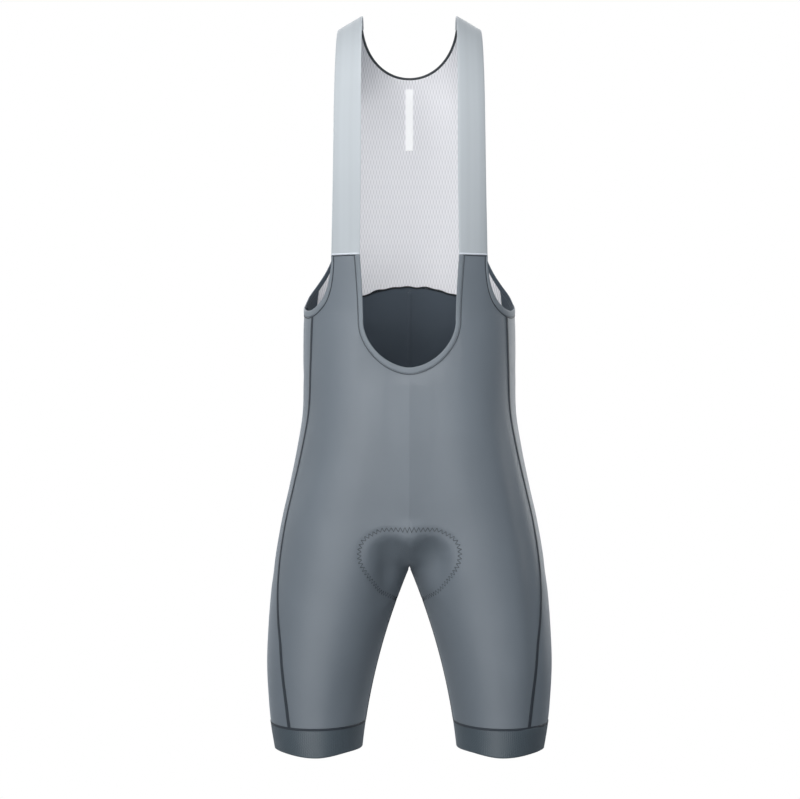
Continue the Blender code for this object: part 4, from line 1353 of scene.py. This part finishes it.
BOND_SHADOW_DROP = 0.0012
BOND_RUN = 0.004
BOND_SLOPE_RUN = 0.02
BOND_INSET = 0.01
BOND_STATIONS = 40
share = np.linspace(BOND_INSET, 1 - BOND_INSET, BOND_STATIONS)
bond = strap_spot(share, np.full_like(share, BOND_RUN))
ahead, behind = (strap_spot(share + step, np.full_like(share, BOND_SLOPE_RUN))
                 for step in (STRAP_STEP, -STRAP_STEP))
up = np.array([0.0, 0.0, 1.0])
bond_normals = unit(np.cross(ahead - behind, up))
# The second line, just under the bond, is a painted shadow of the bond's edge on the front panel
for side, side_name in SIDES:
    for name, slot, points, band in (
            ("strap_bond", "strap", bond + up * BOND.width / 2, BOND),
            ("strap_bond_shadow_line", "front_lycra", bond - up * BOND_SHADOW_DROP, BOND_SHADOW)):
        spots = flip(points, side), flip(bond_normals, side)
        trims["strap", side].append(swept(f"{name}_{side_name}", spots, band))

ZIGZAG_WIDTH = 0.0052
ZIGZAG_PITCH = 0.0055
ZIGZAG_STOPS = (0.0, 0.12, 0.35, 0.65, 0.88)


def zigzag(side, side_name):
    """The pad's stitching, all round its edge on the outside of the cloth."""
    turn, height = pad_outline(ZIGZAG_PITCH / 2)
    base, normals = skin(turn, height), skin_normal(turn, height)
    across = np.cross(normals, tangents(base))
    swing = np.where(np.arange(len(turn)) % 2 == 0, 0.5, -0.5)[:, None] * ZIGZAG_WIDTH
    corner_turn, corner_height = step_on_skin(turn, height, across * swing)
    corner_turn[0], corner_turn[-1] = turn[0], turn[-1]
    unwrapped = np.where(corner_turn > 2, corner_turn - 4, corner_turn)
    corners = np.stack([unwrapped, corner_height], -1)
    share = np.array(ZIGZAG_STOPS)[None, :, None]
    path = mix(corners[:-1, None], corners[1:, None], share).reshape(-1, 2)
    path = np.vstack([path, corners[-1:]])
    spots = dressed(wrapped(path[:, 0]), path[:, 1], side)
    return swept(f"pad_stitches_{side_name}", spots, PAD_THREAD,
                 PAD_THREAD.width * stitch_share(spots[0][:, 1]))


pad_stitches = {side: zigzag(side, side_name) for side, side_name in SIDES}

# Inside: the overlocked edge of the mesh, the label and the pad

OVERLOCK_CLEAR = 0.0005
OVERLOCK_STATIONS = 200
WAVES = (
    # length, height
    (0.021, 0.00055),
    (0.034, 0.00045),
    (0.055, 0.00035),
)
WAVE_SHIFT = 90


def overlock_spots(side):
    turn = np.linspace(mesh_side_start()[0], 4.0, OVERLOCK_STATIONS)
    height = mesh_bottom(turn)
    x = skin(turn, height)[..., 0] * side
    for length, rise in WAVES:
        height = height + rise * np.sin(2 * np.pi * x / length + length * WAVE_SHIFT)
    return dressed(turn, height, side, -(WALL + OVERLOCK_CLEAR))


overlock = swept("mesh_overlock", across_both(overlock_spots), OVERLOCK)

CENTRE_SEAM_STATIONS = 120
CENTRE_SEAMS = (
    # name, turn, from height, to height, panel
    ("centre_front_seam_inside", 0.0, -0.6180, -0.4460, "front"),
    ("centre_back_seam_inside", 4.0, -0.5530, -0.3330, "seat"),
)
for name, turn, low, high, part in CENTRE_SEAMS:
    levels = np.linspace(low, high, CENTRE_SEAM_STATIONS)
    spots = dressed(np.full_like(levels, turn), levels, 1, -(WALL + CENTRE_SEAM.thick / 2))
    trims[part, 1].append(swept(name, spots, CENTRE_SEAM,
                                across=np.tile([1.0, 0.0, 0.0], (len(levels), 1))))

turn = np.linspace(mesh_side_start()[0] + MESH_SEAM_STARTS, 4.0, SEAM_SAMPLES)
mesh_seam = swept("mesh_seat_tape", both_dressed(turn, mesh_bottom(turn)), TAPE,
                  ripple=cover_stitch)

LABEL_ROWS = 48
LABEL_COLUMNS = 10
LABEL_CLEAR = 0.0007


def label():
    height, half_width = np.broadcast_arrays(
        mix(LABEL_BOTTOM, LABEL_TOP, stops(LABEL_ROWS)[:, None]),
        stops(LABEL_COLUMNS, 1, 0) * LABEL_WIDTH / 2)
    spots = both_dressed(turn_at("back", half_width, height), height,
                         -(MESH_WALL + MESH_LIFT + LABEL_CLEAR))
    return wall("neck_label_ribbon", "neck_label", spots, [LABEL_CLOTH], LABEL_WALL)


label_piece = label()

PAD_EDGE = 0.0020
PAD_MIDDLE = 0.0080
PAD_CLEAR = 0.0015
PAD_ROWS = 128
PAD_COLUMNS = 34
CREASE_TURN = 0.05
CREASE_LIMIT = 0.35
PAD_ROLL = 0.0006
PAD_THINNEST = 0.0014
PAD_END_ROWS = 4
PAD_CROWN = 0.7
# Sewn channels. Along the middle: deep, half width, from row, to row, fades over so many rows
MIDDLE_CHANNEL = (0.0020, 0.07, 2, 15, 3)
# On each wing: deep, half width, off centre, how far it sways, sway per row
WING_CHANNEL = (0.0016, 0.05, 0.50, 0.05, 0.8)
# Across: deep, half width in rows, the rows where they lie
CROSS_CHANNELS = (0.0012, 0.35, (4.5, 11.5))
CHANNELS_REACH = 0.5


def pad_grid(side):
    row = stops(PAD_ROWS, 0, PAD_LAST_ROW)[:, None]
    share = stops(PAD_COLUMNS, 1, 0)[None]
    turn, height = pad_place(row + 0 * share, share + 0 * row)
    points, normals = skin(turn, height), skin_normal(turn, height)
    start = np.where(row[:, 0] <= PAD_CROTCH_ROW, 0.0, 4.0)
    beside = skin_normal(np.abs(start - CREASE_TURN), height[:, -1])
    flat = unit(normals[:, -1] * np.array([0.0, 1.0, 1.0]))
    normals[:, -1] = flat
    lean = np.maximum(np.abs((beside * flat).sum(-1)), CREASE_LIMIT)
    deep = np.full(turn.shape, WALL + PAD_CLEAR)
    deep[:, -1] /= lean
    points = points - normals * (deep - relief(turn, height, points, side))[..., None]
    return flip(points, side), flip(normals, side)


def pad_depth():
    """How thick the pad is: thin at its edge, full in the middle, with channels in its lobes."""
    row = stops(PAD_ROWS, 0, PAD_LAST_ROW)[:, None]
    across = stops(PAD_COLUMNS)
    across = np.concatenate([across, across[-2::-1]])[None]
    along = np.minimum(row, PAD_LAST_ROW - row) / PAD_END_ROWS
    full = mix(PAD_EDGE, PAD_MIDDLE, ease(across / PAD_CROWN) * ease(along))
    off_centre = 1 - across
    deep, width, first, last, fades = MIDDLE_CHANNEL
    middle = deep * np.exp(-((off_centre / width) ** 2))
    middle = middle * ease((row - first) / fades) * ease((last - row) / fades)
    deep, width, place, sway, turns = WING_CHANNEL
    wing = deep * np.exp(-(((off_centre - place - sway * np.sin(row * turns)) / width) ** 2))
    deep, width, places = CROSS_CHANNELS
    bars = sum(deep * np.exp(-(((row - place) / width) ** 2)) for place in places)
    sunk = middle + (wing + bars) * ease(along * 2) * ease(across / CHANNELS_REACH)
    return np.maximum(full - sunk, PAD_THINNEST)


pad_piece = wall("seat_pad_foam", "seat_pad", across_both(pad_grid), [PAD_CLOTH],
                 PAD_EDGE, roll=PAD_ROLL, lift=(0.0, PAD_EDGE - pad_depth()))

# The trims on each cloth. The stretch cloth is worn about a tenth longer and wider than it was cut
trims["front", 1] += [scoop_trim, scoop_line]
for side, side_name in SIDES:
    trims["front", side].append(pad_stitches[side])
    trims["side", side] += [armhole_trims[side], armhole_lines[side]]
    trims["front", side]
    trims["side", side]
    trims["seat", side]
    trims["strap", side]
    trims["gripper", side]

# Studio

FLOOR_HEIGHT = -1.35
FLOOR_RADIUS = 1.9
FLOOR_SIDES = 128
# The paper glows a little, so that it is as pale as the backdrop
FLOOR_GLOW = 0.55
floor_mesh = bpy.data.meshes.new("floor")
floor_angles = [2 * math.pi * i / FLOOR_SIDES for i in range(FLOOR_SIDES)]
floor_mesh.from_pydata([(FLOOR_RADIUS * math.cos(a), FLOOR_RADIUS * math.sin(a), FLOOR_HEIGHT)
                        for a in floor_angles], [], [list(range(FLOOR_SIDES))])
paper = bpy.data.materials.new("floor_paper")
paper.use_nodes = True
put(paper.node_tree.nodes["Principled BSDF"], {
    "Base Color": (0.90, 0.90, 0.90, 1.0), "Roughness": 0.9,
    "Emission Color": WHITE, "Emission Strength": FLOOR_GLOW})
floor_mesh.materials.append(paper)
floor = add_object("floor", floor_mesh)
floor.visible_diffuse = False
floor.visible_glossy = False

TARGET = Vector((0.0, 0.0, -0.45))
LIGHTS = (
    # name, degrees to the viewer's right of the front, degrees up, distance, size, power
    ("key", -15, 36, 3.0, 2.0, 62.0),
    ("key_side", -34, 36, 3.0, 2.0, 11.0),
    ("front_low", -15, -25, 3.0, 2.0, 39.0),
    ("right_rim", 138, 5, 2.6, 1.2, 15.0),
    ("left_rim", -125, 5, 2.6, 1.2, 3.0),
    ("back_right", 158, 25, 3.0, 1.6, 24.0),
    ("back_left", -155, 25, 3.0, 1.6, 29.0),
)
for name, azimuth, elevation, distance, size, power in LIGHTS:
    lamp = bpy.data.lights.new(name, "AREA")
    lamp.shape = "SQUARE"
    lamp.size = size
    lamp.energy = power
    thing = add_object(name, lamp)
    azimuth, elevation = math.radians(azimuth), math.radians(elevation)
    level = distance * math.cos(elevation)
    offset = Vector((level * math.sin(azimuth), -level * math.cos(azimuth),
                     distance * math.sin(elevation)))
    thing.location = TARGET + offset
    thing.rotation_euler = (-offset).to_track_quat("-Z", "Y").to_euler()

# The backdrop is white to the camera and a weak cool light to the cloth
world = bpy.data.worlds.new("studio")
bpy.context.scene.world = world
world.use_nodes = True
nodes, links = world.node_tree.nodes, world.node_tree.links
surround, backdrop = nodes["Background"], nodes.new("ShaderNodeBackground")
put(surround, {"Color": (0.80, 0.90, 1.0, 1.0), "Strength": 0.18})
put(backdrop, {"Color": WHITE, "Strength": 1.0})
path = nodes.new("ShaderNodeLightPath")
blend = nodes.new("ShaderNodeMixShader")
links.new(path.outputs["Is Camera Ray"], blend.inputs[0])
links.new(surround.outputs[0], blend.inputs[1])
links.new(backdrop.outputs[0], blend.inputs[2])
links.new(blend.outputs[0], nodes["World Output"].inputs["Surface"])
bpy.context.scene.view_settings.view_transform = "Standard"

CAMERA_DISTANCE = 2.6
CAMERA_HEIGHT = -0.471
CAMERA_LENS = 93.6
CAMERA_SHIFT = -0.0118
camera_data = bpy.data.cameras.new("camera")
camera_data.lens = CAMERA_LENS
camera_data.sensor_width = 36.0
camera_data.shift_x = CAMERA_SHIFT
camera = add_object("camera", camera_data)
camera.location = (0.0, -CAMERA_DISTANCE, CAMERA_HEIGHT)
camera.rotation_euler = (math.pi / 2, 0.0, 0.0)
bpy.context.scene.camera = camera
